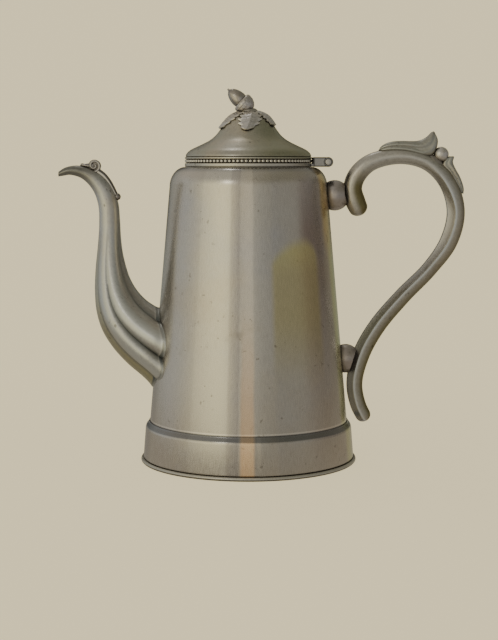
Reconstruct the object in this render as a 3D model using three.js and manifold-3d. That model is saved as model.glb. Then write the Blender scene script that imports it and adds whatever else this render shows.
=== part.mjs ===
// A silver coffee pot: a tapered body with a rounded shoulder, an applied base band and foot wire, a fluted
// swan-neck spout cast in two halves, a hollow scroll handle on two ball bosses, and a hinged domed lid
// with a beaded rim, an oak-leaf mount and an acorn finial.
// Millimetres. +Z is up, the origin is on the body's axis at the surface that the pot stands on, the spout
// points to -X and the handle to +X. Everything but the oak leaves is symmetric about Y = 0.
import * as THREE from "three";
import { mergeVertices } from "three/addons/utils/BufferGeometryUtils.js";
import Module from "manifold-3d";

const wasm = await Module();
wasm.setup();

// ---------------------------------------------------------------- driving dimensions
const GAP = 0.3; // room left between two pieces that are soldered or rest on each other
const ROUND = 40; // facets round the body and the lid
const WALL = 0.9; // sheet of the body, the lid and the base band

const FOOT_RADIUS = 78; // outside of the foot wire
const FOOT_HEIGHT = 2.8;
const FLOOR_Z = 1.5; // underside of the bottom plate
const FLOOR_THICKNESS = 1.2;

const WALL_BOTTOM_Z = 3.3;
const WALL_TOP_Z = 197.5; // the straight taper ends here and the shoulder begins
const WALL_BOTTOM_RADIUS = 73.7;
const WALL_TOP_RADIUS = 56.3;
const SHOULDER_TOP_Z = 211.6;
const SHOULDER_TOP_RADIUS = 45.6;
const MOUTH_RADIUS = 44; // hole in the shoulder that the collar is soldered into

const BAND_BOTTOM_RADIUS = 76.2;
const BAND_EDGE_RADIUS = 74.4;
const BAND_EDGE_Z = 25.7; // the band's outer face ends here and its sloping top edge begins
const BAND_TOP_Z = 29.5;

const RIM_RADIUS = 45.4; // collar and beaded rim
const COLLAR_INNER_RADIUS = 42.5;
const COLLAR_TOP_Z = 214;
const COLLAR_SKIRT_Z = 208.5;

const BEAD_COUNT = 96;
const BEAD_ROW_TOP_Z = 217.2;
const FLANGE_RADIUS = 42; // the lid's inner flange, which drops into the collar
const FLANGE_BOTTOM_Z = 210.8;

const HINGE_X = 56.4;
const HINGE_Z = 215.1;
const KNUCKLE_RADIUS = 3.45;
const KNUCKLE_WIDTH = 7.7;
const KNUCKLE_PITCH = 8;
const PIN_RADIUS = 1.3;
const PIN_CLEARANCE = 0.2;
const PIN_HEAD_RADIUS = 2.4;
const PIN_HEAD_THICKNESS = 0.6;

const STRAINER_Z = 82;
const STRAINER_PITCH = 7;
const STRAINER_HOLE_RADIUS = 1.6;

const SPOUT_ROOT_WALL = 1.4;
const SPOUT_TIP_WALL = 0.75;
const HANDLE_WALL = 1.6;

// ---------------------------------------------------------------- materials
const spunSilver = new THREE.MeshStandardMaterial({ color: 0xa8a294, roughness: 0.34, metalness: 1 });
const castSilver = new THREE.MeshStandardMaterial({ color: 0x8f897c, roughness: 0.38, metalness: 1 });
const ornamentSilver = new THREE.MeshStandardMaterial({ color: 0x857f74, roughness: 0.42, metalness: 1 });
const innerSilver = new THREE.MeshStandardMaterial({ color: 0x7b766a, roughness: 0.55, metalness: 1 });
const hingeSilver = new THREE.MeshStandardMaterial({ color: 0x9a968c, roughness: 0.32, metalness: 1 });

// ---------------------------------------------------------------- solids
// A closed three.js geometry as a manifold-3d solid.
function solidOf(geometry) {
  const bare = geometry.clone();
  bare.deleteAttribute("normal");
  bare.deleteAttribute("uv");
  const merged = mergeVertices(bare, 1e-4);
  const vertProperties = new Float32Array(merged.getAttribute("position").array);
  const triVerts = new Uint32Array(merged.index.array);
  return new wasm.Manifold(new wasm.Mesh({ numProp: 3, vertProperties, triVerts }));
}

// A manifold-3d solid as a three.js geometry.
function geometryOf(solid) {
  const mesh = solid.getMesh();
  const geometry = new THREE.BufferGeometry();
  geometry.setAttribute("position", new THREE.BufferAttribute(mesh.vertProperties, 3));
  geometry.setIndex(new THREE.BufferAttribute(mesh.triVerts, 1));
  geometry.computeVertexNormals();
  return geometry;
}

// A solid of revolution about Z through [radius, height] points, which close on themselves or on the axis.
function turned(profile, facets = ROUND) {
  const points = profile.map(([radius, height]) => new THREE.Vector2(radius, height));
  return solidOf(new THREE.LatheGeometry(points, facets).rotateX(Math.PI / 2));
}

// A turned ring: the profile is closed by repeating its first point.
const turnedRing = (profile, facets = ROUND) => turned([...profile, profile[0]], facets);

// A box between two corners.
function box(low, high) {
  const size = high.map((value, i) => value - low[i]);
  const centre = high.map((value, i) => (value + low[i]) / 2);
  return solidOf(new THREE.BoxGeometry(...size).translate(...centre));
}

// A cylinder along Y, centred at [x, y, z].
function crossBar(radius, width, [x, y, z], facets = 20) {
  return solidOf(new THREE.CylinderGeometry(radius, radius, width, facets).translate(x, y, z));
}

// An [x, z] outline extruded along Y, centred at y.
function plate(outline, width, y = 0) {
  const shape = new THREE.Shape(outline.map(([x, z]) => new THREE.Vector2(x, z)));
  const geometry = new THREE.ExtrudeGeometry(shape, { depth: width, bevelEnabled: false });
  return solidOf(geometry.rotateX(Math.PI / 2).translate(0, y + width / 2, 0));
}

// A closed body through rings of points, with a fan to the middle of the first and the last ring.
function loft(rings) {
  const count = rings[0].length;
  const middle = (ring) => ring.reduce((sum, p) => sum.add(p), new THREE.Vector3()).divideScalar(count);
  const points = [...rings.flat(), middle(rings[0]), middle(rings.at(-1))];
  const index = [];
  for (let i = 0; i < count; i++) {
    const next = (i + 1) % count;
    for (let row = 0; row < (rings.length - 1) * count; row += count) {
      index.push(row + i, row + count + next, row + next, row + i, row + count + i, row + count + next);
    }
    const last = (rings.length - 1) * count;
    index.push(points.length - 2, i, next, points.length - 1, last + next, last + i);
  }
  const geometry = new THREE.BufferGeometry().setFromPoints(points);
  geometry.setIndex(index);
  return solidOf(geometry);
}

const union = (...solids) => solids.reduce((sum, solid) => sum.add(solid));

// A smooth line through [x, z] points in the plane Y = 0, sampled by a share of its length.
function line(points) {
  const curve = new THREE.CatmullRomCurve3(points.map(([x, z]) => new THREE.Vector3(x, 0, z)));
  return (share) => curve.getPoint(THREE.MathUtils.clamp(share, 0, 1));
}

// A value that follows evenly spaced stations smoothly.
function along(values) {
  const curve = new THREE.CatmullRomCurve3(values.map((v, i) => new THREE.Vector3(i, v, 0)));
  return (share) => curve.getPoint(THREE.MathUtils.clamp(share, 0, 1)).y;
}

// The two halves that a casting is soldered from, one on each side of the plane Y = 0.
function halves(solid) {
  const far = 400;
  const front = solid.intersect(box([-far, -far, -far], [far, -GAP / 2, far]));
  const back = solid.intersect(box([-far, GAP / 2, -far], [far, far, far]));
  return [front, back];
}

// ---------------------------------------------------------------- body
// Points of the quarter of an ellipse that the shoulder turns through, offset inwards by inset.
function shoulder(inset, steps) {
  const centreRadius = SHOULDER_TOP_RADIUS - 0.6;
  const reach = WALL_TOP_RADIUS - centreRadius - inset;
  const rise = SHOULDER_TOP_Z - WALL_TOP_Z - inset;
  return Array.from({ length: steps + 1 }, (_, i) => {
    const angle = ((Math.PI / 2) * i) / steps;
    return [centreRadius + reach * Math.cos(angle), WALL_TOP_Z + rise * Math.sin(angle)];
  });
}

// The body's outside as a filled solid grown by grow, for trimming what is soldered onto it.
function bodyEnvelope(grow) {
  const outside = shoulder(-grow, 8);
  return turned([[0, -5], [WALL_BOTTOM_RADIUS + grow, -5], [WALL_BOTTOM_RADIUS + grow, WALL_BOTTOM_Z],
    ...outside, [0, SHOULDER_TOP_Z + grow]]);
}

// The holes pierced in the wall behind the spout: one, then two rings of a hexagonal pattern.
function strainerPunch() {
  const punch = [];
  for (let row = -2; row <= 2; row++) {
    const inRow = 5 - Math.abs(row);
    for (let i = 0; i < inRow; i++) {
      const y = (i - (inRow - 1) / 2) * STRAINER_PITCH;
      const z = STRAINER_Z + row * STRAINER_PITCH * Math.sin(Math.PI / 3);
      const rod = new THREE.CylinderGeometry(STRAINER_HOLE_RADIUS, STRAINER_HOLE_RADIUS, 40, 8);
      punch.push(solidOf(rod.rotateZ(Math.PI / 2).translate(-65, y, z)));
    }
  }
  return union(...punch);
}

function makeBodyShell() {
  const outside = shoulder(0, 5);
  const inside = shoulder(WALL, 4).reverse().filter(([radius]) => radius > MOUTH_RADIUS);
  const shell = turnedRing([
    [WALL_BOTTOM_RADIUS - WALL, WALL_BOTTOM_Z], [WALL_BOTTOM_RADIUS, WALL_BOTTOM_Z],
    ...outside, [MOUTH_RADIUS, SHOULDER_TOP_Z], [MOUTH_RADIUS, SHOULDER_TOP_Z - WALL], ...inside,
  ]);
  return shell.subtract(strainerPunch());
}

function makeMouthCollar() {
  const skirt = MOUTH_RADIUS - GAP;
  const seat = SHOULDER_TOP_Z + GAP;
  return turnedRing([[COLLAR_INNER_RADIUS, COLLAR_SKIRT_Z], [skirt, COLLAR_SKIRT_Z], [skirt, seat],
    [RIM_RADIUS, seat], [RIM_RADIUS, COLLAR_TOP_Z], [COLLAR_INNER_RADIUS, COLLAR_TOP_Z]]);
}

function makeBottomPlate() {
  const radius = WALL_BOTTOM_RADIUS - 1;
  const top = FLOOR_Z + FLOOR_THICKNESS;
  return turned([[0, FLOOR_Z], [radius, FLOOR_Z], [radius, top], [0, top]]);
}

// The wire that the pot stands on, flat underneath and round outside.
function makeFootWire() {
  const inner = WALL_BOTTOM_RADIUS - 0.7;
  const middle = FOOT_HEIGHT / 2;
  return turnedRing([[inner, 0], [FOOT_RADIUS - 1.4, 0], [FOOT_RADIUS - 0.4, 0.5], [FOOT_RADIUS, middle],
    [FOOT_RADIUS - 0.4, FOOT_HEIGHT - 0.5], [FOOT_RADIUS - 1.4, FOOT_HEIGHT], [inner, FOOT_HEIGHT]]);
}

// The sheet band round the foot, which stands off the wall and slopes in to it at the top.
function makeBaseBand() {
  const slope = (WALL_BOTTOM_RADIUS - WALL_TOP_RADIUS) / (WALL_TOP_Z - WALL_BOTTOM_Z);
  const wallRadius = (z) => WALL_BOTTOM_RADIUS - slope * (z - WALL_BOTTOM_Z) + GAP;
  const bottom = FOOT_HEIGHT + GAP;
  return turnedRing([[BAND_BOTTOM_RADIUS - WALL, bottom], [BAND_BOTTOM_RADIUS, bottom],
    [BAND_EDGE_RADIUS, BAND_EDGE_Z], [BAND_EDGE_RADIUS - 0.9, BAND_EDGE_Z + 2],
    [wallRadius(BAND_TOP_Z) + 0.4, BAND_TOP_Z], [wallRadius(BAND_TOP_Z), BAND_TOP_Z],
    [wallRadius(BAND_EDGE_Z), BAND_EDGE_Z]]);
}

// ---------------------------------------------------------------- spout
// The spout's lower and upper outlines, from inside the body's wall to the tip, station by station.
const spoutUnder = line([[-64, 49], [-76.5, 61], [-87, 70], [-97.5, 81.5], [-105.5, 94.5], [-109.5, 108],
  [-110.6, 122], [-110, 138], [-108.2, 155], [-107, 171], [-107.6, 185], [-111.5, 195.5], [-119, 203.3],
  [-127.5, 206.4], [-135.6, 206.4]]);
const spoutOver = line([[-50, 104], [-59.5, 107.4], [-66.5, 111.2], [-74, 116.4], [-80.5, 123.6],
  [-85.2, 132], [-88.4, 142], [-90.4, 151.5], [-91.5, 162.5], [-92, 173.5], [-93.3, 187], [-98.5, 199.5],
  [-108, 208.8], [-120, 212.2], [-135.4, 209.6]]);
const spoutHalfWidth = along([34, 32.5, 29.5, 26, 22, 18, 14.6, 11.7, 9.2, 7.8, 7.1, 6.4, 5.6, 4.9, 3.9]);
const SPOUT_STATIONS = 20;
// Creases between the six lobes.
const FLUTE_EDGES = [-41, 41, 86, 148, 212, 274, 319].map(THREE.MathUtils.degToRad);
const FLUTE_DEPTH = 0.15; // of the half-width, at the root
const FLUTE_END = 0.55; // share of the length where the flutes have died out

// The section's corners: each lobe starts at a crease, where cut is 1, and stands full in its middle.
const spoutCorners = FLUTE_EDGES.slice(1).flatMap((to, i) => {
  const from = FLUTE_EDGES[i];
  return [0, 0.22, 0.5, 0.78].map((share) => {
    return { angle: THREE.MathUtils.lerp(from, to, share), cut: 1 - Math.sin(Math.PI * share) };
  });
});

// The ring of the spout's section at a share of its length, taken in by inset.
function spoutRing(share, inset) {
  const under = spoutUnder(share);
  const over = spoutOver(share);
  const centre = under.clone().add(over).multiplyScalar(0.5);
  const half = under.clone().sub(centre);
  const depth = FLUTE_DEPTH * THREE.MathUtils.clamp(1 - share / FLUTE_END, 0, 1);
  const tall = (half.length() - inset) / half.length();
  const wide = spoutHalfWidth(share) - inset;
  return spoutCorners.map(({ angle, cut }) => {
    const reach = 1 - depth * cut;
    const point = centre.clone().addScaledVector(half, tall * reach * Math.cos(angle));
    return point.setY(wide * reach * Math.sin(angle));
  });
}

// The spout as a filled body, taken in by an inset that goes from root to tip. An open end is pushed out.
function spoutBody(rootInset, tipInset, open) {
  const rings = Array.from({ length: SPOUT_STATIONS + 1 }, (_, i) => {
    const share = i / SPOUT_STATIONS;
    return spoutRing(share, THREE.MathUtils.lerp(rootInset, tipInset, share));
  });
  if (open) {
    rings.unshift(rings[0].map((p) => p.clone().add(new THREE.Vector3(12, 0, -8))));
    rings.push(rings.at(-1).map((p) => p.clone().add(new THREE.Vector3(-4, 0, -1))));
  }
  return loft(rings);
}

function makeSpoutHalves() {
  const tube = spoutBody(0, 0, false).subtract(spoutBody(SPOUT_ROOT_WALL, SPOUT_TIP_WALL, true));
  return halves(tube.subtract(bodyEnvelope(GAP)));
}

// The volute on the bend of the spout, with the short leaf in front of it.
function makeSpoutScroll() {
  const volute = crossBar(4.5, 6.4, [-109.9, 0, 212.7], 18);
  const leaf = plate([[-119.4, 213.9], [-110, 215.6], [-110, 209.5], [-119, 211.4]], 4.4);
  return union(volute, leaf).subtract(spoutBody(-GAP, -GAP, false));
}

// The strap that runs down the back of the spout from the volute to its end bead.
function makeSpoutStrap() {
  const strap = plate([[-105.6, 209.4], [-102, 206.9], [-98.2, 201.9], [-95.3, 196.5], [-92.2, 192.4],
    [-92.2, 188], [-96, 188], [-102, 198], [-108.2, 204.4]], 4.6);
  const bead = new THREE.SphereGeometry(2.6, 12, 8).translate(-93.3, 0, 190.6);
  return union(strap, solidOf(bead)).subtract(spoutBody(-GAP, -GAP, false));
}

// ---------------------------------------------------------------- handle
// The middle line of the handle from the curled upper end to the tail, and its depth at each point.
const handlePoints = [[80.2, 179.6], [77.2, 187.2], [75.1, 196.2], [77.6, 205.3], [87.2, 214.7], [108.4, 219.2],
  [128, 214.3], [142.4, 200.5], [148.6, 180], [143.9, 158.5], [130.2, 138.6], [111, 118.8], [92.7, 96.8],
  [81.7, 76.5], [77, 56], [79.4, 40.5], [84, 30.6]];
const handleDepth = along([10.6, 13.4, 12.5, 13, 12.3, 11.3, 11.1, 12.2, 12.6, 12.6, 11.1, 11.6, 12.1, 12.3,
  11.2, 10.6, 8.6]);
const handleBreadth = along([9.6, 12.2, 12.6, 12.8, 13, 13.4, 13.6, 13.6, 13.4, 13.2, 12.8, 12.6, 12.6, 12.4,
  11.4, 10.2, 8.2]);
const HANDLE_STATIONS = 32;
// The section as shares of depth and breadth: round on the outside, an arris each side, flat towards the hand.
const HANDLE_SECTION = [[0.5, 0], [0.44, 0.26], [0.26, 0.43], [0, 0.5], [-0.2, 0.5], [-0.5, 0.24],
  [-0.5, -0.24], [-0.2, -0.5], [0, -0.5], [0.26, -0.43], [0.44, -0.26]];

// The handle as a filled body with rounded ends, taken in by inset all round.
function handleBody(inset) {
  const curve = new THREE.CatmullRomCurve3(handlePoints.map(([x, z]) => new THREE.Vector3(x, 0, z)));
  const ring = (share, size, push) => {
    const centre = curve.getPoint(share);
    const ahead = curve.getTangent(share);
    const outward = new THREE.Vector3(-ahead.z, 0, ahead.x);
    const depth = (handleDepth(share) - 2 * inset) * size;
    const breadth = (handleBreadth(share) - 2 * inset) * size;
    centre.addScaledVector(ahead, push);
    return HANDLE_SECTION.map(([n, b]) => centre.clone().addScaledVector(outward, n * depth).setY(b * breadth));
  };
  const end = 3 - inset; // length of the rounded ends
  const rings = [ring(0, 0.3, -end), ring(0, 0.72, -0.7 * end)];
  for (let i = 0; i <= HANDLE_STATIONS; i++) rings.push(ring(i / HANDLE_STATIONS, 1, 0));
  rings.push(ring(1, 0.72, 0.7 * end), ring(1, 0.3, end));
  return loft(rings);
}

const makeHandleHalves = () => halves(handleBody(0).subtract(handleBody(HANDLE_WALL)));

// A ball boss that holds the handle off the body.
function makeBallBoss(radius, x, z) {
  const ball = solidOf(new THREE.SphereGeometry(radius, 18, 12).rotateX(Math.PI / 2).translate(x, 0, z));
  return ball.subtract(bodyEnvelope(GAP)).subtract(handleBody(-GAP));
}

// A leaf lying along the handle: a side outline cut to a pointed plan, with its underside fitted to the handle.
function makeHandleOrnament(outline, breadth) {
  return plate(outline, breadth).subtract(handleBody(-GAP));
}

const makeThumbLeaf = () => makeHandleOrnament([[93.4, 222], [94.2, 224.4], [97.3, 227.5], [100.9, 229.3],
  [108, 230.1], [120.8, 230.1], [125, 231.4], [128.6, 233.9], [130.2, 236], [131.7, 236.7], [133.5, 234.9],
  [134.7, 231.4], [134.4, 227.8], [133, 224.9], [130.1, 222.9], [126, 221], [110, 222]], 9);

const makeHandleLeaf = () => makeHandleOrnament([[141.9, 212], [142.4, 216], [143.8, 219], [146.3, 218.6],
  [145.7, 215.1], [147.5, 210.8], [150.4, 205.9], [152.6, 200.2], [153.7, 195.9], [153.4, 192.8], [150, 192],
  [143, 204]], 7);

function makeHandleBead() {
  const ball = solidOf(new THREE.SphereGeometry(5.5, 16, 12).rotateX(Math.PI / 2).translate(137.4, 0, 220.5));
  return ball.subtract(handleBody(-GAP));
}

// ---------------------------------------------------------------- hinge
const knuckle = (y) => crossBar(KNUCKLE_RADIUS, KNUCKLE_WIDTH, [HINGE_X, y, HINGE_Z]);
const pinHole = () => crossBar(PIN_RADIUS + PIN_CLEARANCE, 40, [HINGE_X, 0, HINGE_Z], 16);
const HINGE_HALF_WIDTH = KNUCKLE_PITCH + KNUCKLE_WIDTH / 2;
const LUG_START_X = RIM_RADIUS + 0.8;

// A sector of a ring hugging the rim, as wide as the hinge, that the body's two lugs are joined by.
function hingeStrap(low, high) {
  const ring = turnedRing([[RIM_RADIUS + GAP, low], [RIM_RADIUS + 2.1, low], [RIM_RADIUS + 2.1, high],
    [RIM_RADIUS + GAP, high]]);
  return ring.intersect(box([0, -HINGE_HALF_WIDTH, low], [80, HINGE_HALF_WIDTH, high]));
}

function makeHingeBodyLeaf() {
  const low = HINGE_Z - KNUCKLE_RADIUS;
  const high = HINGE_Z + KNUCKLE_RADIUS;
  const lug = [[LUG_START_X, low], [HINGE_X, low], [HINGE_X, high], [LUG_START_X + 1.2, high],
    [LUG_START_X, high - 1.2]];
  const strap = hingeStrap(SHOULDER_TOP_Z + GAP, COLLAR_TOP_Z - 0.1);
  const sides = [-KNUCKLE_PITCH, KNUCKLE_PITCH].map((y) => knuckle(y).add(plate(lug, KNUCKLE_WIDTH, y)));
  return union(strap, ...sides).subtract(pinHole()).subtract(bodyEnvelope(GAP));
}

function makeHingeLidLeaf() {
  const high = HINGE_Z + KNUCKLE_RADIUS;
  const arm = [[RIM_RADIUS - 3, COLLAR_TOP_Z + 0.5], [LUG_START_X + 3, COLLAR_TOP_Z + 0.5],
    [HINGE_X - 2.6, HINGE_Z - 2], [HINGE_X, HINGE_Z], [HINGE_X, high], [RIM_RADIUS - 3, high - 0.2]];
  const rim = turned([[0, 200], [RIM_RADIUS + GAP, 200], [RIM_RADIUS + GAP, 230], [0, 230]]);
  return knuckle(0).add(plate(arm, KNUCKLE_WIDTH)).subtract(pinHole()).subtract(rim);
}

function makeHingePin() {
  const inner = HINGE_HALF_WIDTH + 0.1;
  const outer = inner + PIN_HEAD_THICKNESS;
  const pin = turned([[0, -outer], [PIN_HEAD_RADIUS, -outer], [PIN_HEAD_RADIUS, -inner], [PIN_RADIUS, -inner],
    [PIN_RADIUS, inner], [PIN_HEAD_RADIUS, inner], [PIN_HEAD_RADIUS, outer], [0, outer]], 16);
  return pin.rotate([90, 0, 0]).translate([HINGE_X, 0, HINGE_Z]);
}

// ---------------------------------------------------------------- lid
// The lid's outline from above the rim to the apex, as radius and height.
const DOME = [[44.9, 218.9], [44.3, 220.7], [42.9, 222.4], [40.6, 224], [33.7, 227.3], [27.4, 230.6],
  [23.2, 234.1], [19.8, 238.5], [17.1, 242.8], [13.6, 246.5], [7.5, 249.2], [0, 249.9]];
const domeLine = line(DOME);
const STUD_RADIUS = 1.5; // of the threaded stud that draws the finial down onto the lid
const STUD_TOP_Z = 253.2;
const studHole = turned([[0, 240], [STUD_RADIUS + GAP, 240], [STUD_RADIUS + GAP, STUD_TOP_Z + GAP],
  [0, STUD_TOP_Z + GAP]], 12);

function makeLidDome() {
  const low = BEAD_ROW_TOP_Z + GAP;
  const rim = [[FLANGE_RADIUS + GAP, low], [RIM_RADIUS - 0.2, low], [RIM_RADIUS, low + 0.6],
    [RIM_RADIUS - 0.3, low + 1.2]];
  const outside = DOME.slice(0, -1);
  const inside = outside.filter((_, i) => i % 2).map(([radius, z]) => [radius - 0.8 * WALL, z - 0.8 * WALL]);
  const hole = STUD_RADIUS + GAP;
  return turnedRing([...rim, ...outside, [hole, 249.8], [hole, 248.6], ...inside.reverse()]);
}

// The row of beads that is soldered under the lid's rim.
function makeLidBeadBand() {
  const low = COLLAR_TOP_Z + GAP;
  const row = new THREE.Shape();
  for (let i = 0; i < 2 * BEAD_COUNT; i++) {
    const radius = i % 2 ? RIM_RADIUS : RIM_RADIUS - 1;
    const angle = (Math.PI * i) / BEAD_COUNT;
    row[i ? "lineTo" : "moveTo"](radius * Math.cos(angle), radius * Math.sin(angle));
  }
  row.holes.push(new THREE.Path().absarc(0, 0, FLANGE_RADIUS + 2 * GAP, 0, 2 * Math.PI));
  const extrusion = { depth: BEAD_ROW_TOP_Z - low, bevelEnabled: false, curveSegments: ROUND };
  return solidOf(new THREE.ExtrudeGeometry(row, extrusion).translate(0, 0, low));
}

function makeLidInnerFlange() {
  const top = BEAD_ROW_TOP_Z + 0.8;
  return turnedRing([[FLANGE_RADIUS - 1, FLANGE_BOTTOM_Z], [FLANGE_RADIUS, FLANGE_BOTTOM_Z],
    [FLANGE_RADIUS, top], [FLANGE_RADIUS - 1, top]]);
}

// ---------------------------------------------------------------- oak leaves and acorn
const LEAF_COUNT = 5;
const LEAF_START = THREE.MathUtils.degToRad(290);
const LEAF_TWIST = THREE.MathUtils.degToRad(-24); // the leaves swirl by this much from stalk to tip
const LEAF_THICKNESS = 1.3;
const leafHalfWidth = along([2.2, 4.6, 5.6, 4.2, 6.6, 4.6, 5.8, 3.6, 0.8]); // lobes down each side
const LEAF_ROWS = 12;
const LEAF_SHARE = 0.42; // of the lid's outline, from the apex down, that a leaf covers

// A point over the dome at a share of the leaf's length, across it and above the lid by lift.
function leafPoint(turn, share, across, lift) {
  const down = domeLine(1 - 0.1 * LEAF_SHARE - 0.9 * LEAF_SHARE * share);
  const next = domeLine(1 - 0.1 * LEAF_SHARE - 0.9 * LEAF_SHARE * share + 0.02);
  const normal = new THREE.Vector2(next.z - down.z, down.x - next.x).normalize();
  const radius = down.x + lift * normal.x;
  const angle = turn + LEAF_TWIST * share * share + (across * leafHalfWidth(share)) / (down.x + 3);
  return new THREE.Vector3(radius * Math.cos(angle), radius * Math.sin(angle), down.z + lift * normal.y);
}

function makeOakLeaf(turn) {
  const rings = Array.from({ length: LEAF_ROWS + 1 }, (_, i) => {
    const share = i / LEAF_ROWS;
    const top = [-1, -0.5, 0, 0.5, 1].map((a) => leafPoint(turn, share, a, GAP + LEAF_THICKNESS - 0.5 * a * a));
    const under = [1, 0, -1].map((a) => leafPoint(turn, share, a, GAP));
    return [...top, ...under];
  });
  return loft(rings);
}

function makeOakLeafMount() {
  const leaves = Array.from({ length: LEAF_COUNT }, (_, i) => {
    return makeOakLeaf(LEAF_START + (2 * Math.PI * i) / LEAF_COUNT);
  });
  const boss = turned([[0, 250.2], [6.5, 249.8], [6, 251.2], [0, 251.6]], 20);
  return union(boss, ...leaves).subtract(studHole);
}

const ACORN_BASE = new THREE.Vector3(-4.6, 0, 258.6); // centre of the cup's rim
const ACORN_SEAT_Z = 252; // the cup's stalk stands on the leaves' boss here
const ACORN_TILT = THREE.MathUtils.degToRad(-52.5); // of the acorn's axis from upright, towards the spout

// A solid turned about the acorn's own axis, whose heights count from the cup's rim.
const acornTurned = (profile) => turned(profile, 20).rotate([0, THREE.MathUtils.radToDeg(ACORN_TILT), 0])
  .translate(ACORN_BASE.toArray());

function makeAcornNut() {
  const kernel = [[0, 0.3], [5.1, 0.3], [5.35, 2.2], [5.1, 5], [4.2, 7.8], [2.7, 10.2], [1, 11.5]];
  return acornTurned([...kernel, [0.7, 12.7], [0, 12.9]]);
}

function makeAcornCup() {
  const cup = acornTurned([[0, -8.6], [2.6, -8.1], [5.1, -6], [6.3, -3.2], [6.6, -0.8], [6.2, 0], [0, 0]]);
  const stalk = turned([[0, 250], [3.3, 250], [2.7, 253], [2.6, 256], [0, 256]], 12);
  const mount = box([-20, -20, 240], [20, 20, ACORN_SEAT_Z]);
  return union(cup, stalk).subtract(mount).subtract(studHole);
}

const NUT_TOP_Z = 247.9;
const NUT_HEIGHT = 2.4;

function makeFinialStud() {
  return turned([[0, 244.6], [STUD_RADIUS, 244.6], [STUD_RADIUS, STUD_TOP_Z], [0, STUD_TOP_Z]], 12);
}

function makeFinialNut() {
  const hexagon = turned([[0, NUT_TOP_Z - NUT_HEIGHT], [3.4, NUT_TOP_Z - NUT_HEIGHT], [3.4, NUT_TOP_Z],
    [0, NUT_TOP_Z]], 6);
  return hexagon.subtract(studHole);
}

// ---------------------------------------------------------------- assembly
const pot = new THREE.Group();
const lid = new THREE.Group();

function add(group, name, solid, material) {
  const mesh = new THREE.Mesh(geometryOf(solid), material);
  mesh.name = name;
  group.add(mesh);
}

add(pot, "body_shell", makeBodyShell(), spunSilver);
add(pot, "mouth_collar", makeMouthCollar(), spunSilver);
add(pot, "bottom_plate", makeBottomPlate(), innerSilver);
add(pot, "base_band", makeBaseBand(), spunSilver);
add(pot, "foot_wire", makeFootWire(), spunSilver);

const [spoutFront, spoutBack] = makeSpoutHalves();
add(pot, "spout_front_half", spoutFront, castSilver);
add(pot, "spout_back_half", spoutBack, castSilver);
add(pot, "spout_scroll", makeSpoutScroll(), ornamentSilver);
add(pot, "spout_strap", makeSpoutStrap(), ornamentSilver);

const [handleFront, handleBack] = makeHandleHalves();
add(pot, "handle_front_half", handleFront, castSilver);
add(pot, "handle_back_half", handleBack, castSilver);
add(pot, "upper_ball_boss", makeBallBoss(10.9, 61.6, 191.4), castSilver);
add(pot, "lower_ball_boss", makeBallBoss(10.4, 70.2, 73.8), castSilver);
add(pot, "thumb_leaf", makeThumbLeaf(), ornamentSilver);
add(pot, "handle_bead", makeHandleBead(), ornamentSilver);
add(pot, "handle_leaf", makeHandleLeaf(), ornamentSilver);

add(pot, "hinge_body_leaf", makeHingeBodyLeaf(), hingeSilver);
add(pot, "hinge_pin", makeHingePin(), hingeSilver);
add(lid, "hinge_lid_leaf", makeHingeLidLeaf(), hingeSilver);

add(lid, "lid_dome", makeLidDome(), spunSilver);
add(lid, "lid_bead_band", makeLidBeadBand(), ornamentSilver);
add(lid, "lid_inner_flange", makeLidInnerFlange(), innerSilver);
add(lid, "oak_leaf_mount", makeOakLeafMount(), ornamentSilver);
add(lid, "acorn_cup", makeAcornCup(), ornamentSilver);
add(lid, "acorn_nut", makeAcornNut(), ornamentSilver);
add(lid, "finial_stud", makeFinialStud(), hingeSilver);
add(lid, "finial_nut", makeFinialNut(), hingeSilver);

const coffeePot = new THREE.Group();
coffeePot.add(pot, lid);
export default coffeePot;
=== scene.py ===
# The looks of a silver coffee pot: a tapered body on a banded foot, a fluted swan-neck spout, a scroll handle
# on two balls, and a hinged domed lid with a beaded rim, oak leaves and an acorn.
# Shapes are written in millimetres and turned into metres as each mesh is made.
import math

import bmesh
import bpy
from mathutils import Matrix, Vector


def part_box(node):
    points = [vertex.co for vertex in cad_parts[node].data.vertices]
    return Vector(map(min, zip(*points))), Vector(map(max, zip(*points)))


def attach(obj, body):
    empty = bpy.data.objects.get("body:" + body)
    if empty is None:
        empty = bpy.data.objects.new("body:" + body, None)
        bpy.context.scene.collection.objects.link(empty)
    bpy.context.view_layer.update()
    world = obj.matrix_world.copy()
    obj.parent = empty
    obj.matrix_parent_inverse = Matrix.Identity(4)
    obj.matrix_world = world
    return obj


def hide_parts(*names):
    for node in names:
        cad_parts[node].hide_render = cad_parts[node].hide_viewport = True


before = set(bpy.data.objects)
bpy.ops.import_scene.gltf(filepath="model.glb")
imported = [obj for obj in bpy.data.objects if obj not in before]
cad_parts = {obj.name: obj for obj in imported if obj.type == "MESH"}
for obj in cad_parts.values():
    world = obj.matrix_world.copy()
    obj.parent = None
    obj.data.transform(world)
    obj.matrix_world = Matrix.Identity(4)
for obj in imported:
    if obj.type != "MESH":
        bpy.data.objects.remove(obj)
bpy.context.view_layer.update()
scene = bpy.context.scene

MM = 0.001
ROUND = 192  # facets round the body and the lid
CREASE = 35  # degrees between two faces from which their edge stays sharp


def low(node, axis):
    """The lowest coordinate of a CAD node, in millimetres."""
    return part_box(node)[0][axis] / MM


def high(node, axis):
    """The highest coordinate of a CAD node, in millimetres."""
    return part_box(node)[1][axis] / MM


X, Y, Z = 0, 1, 2

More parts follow.
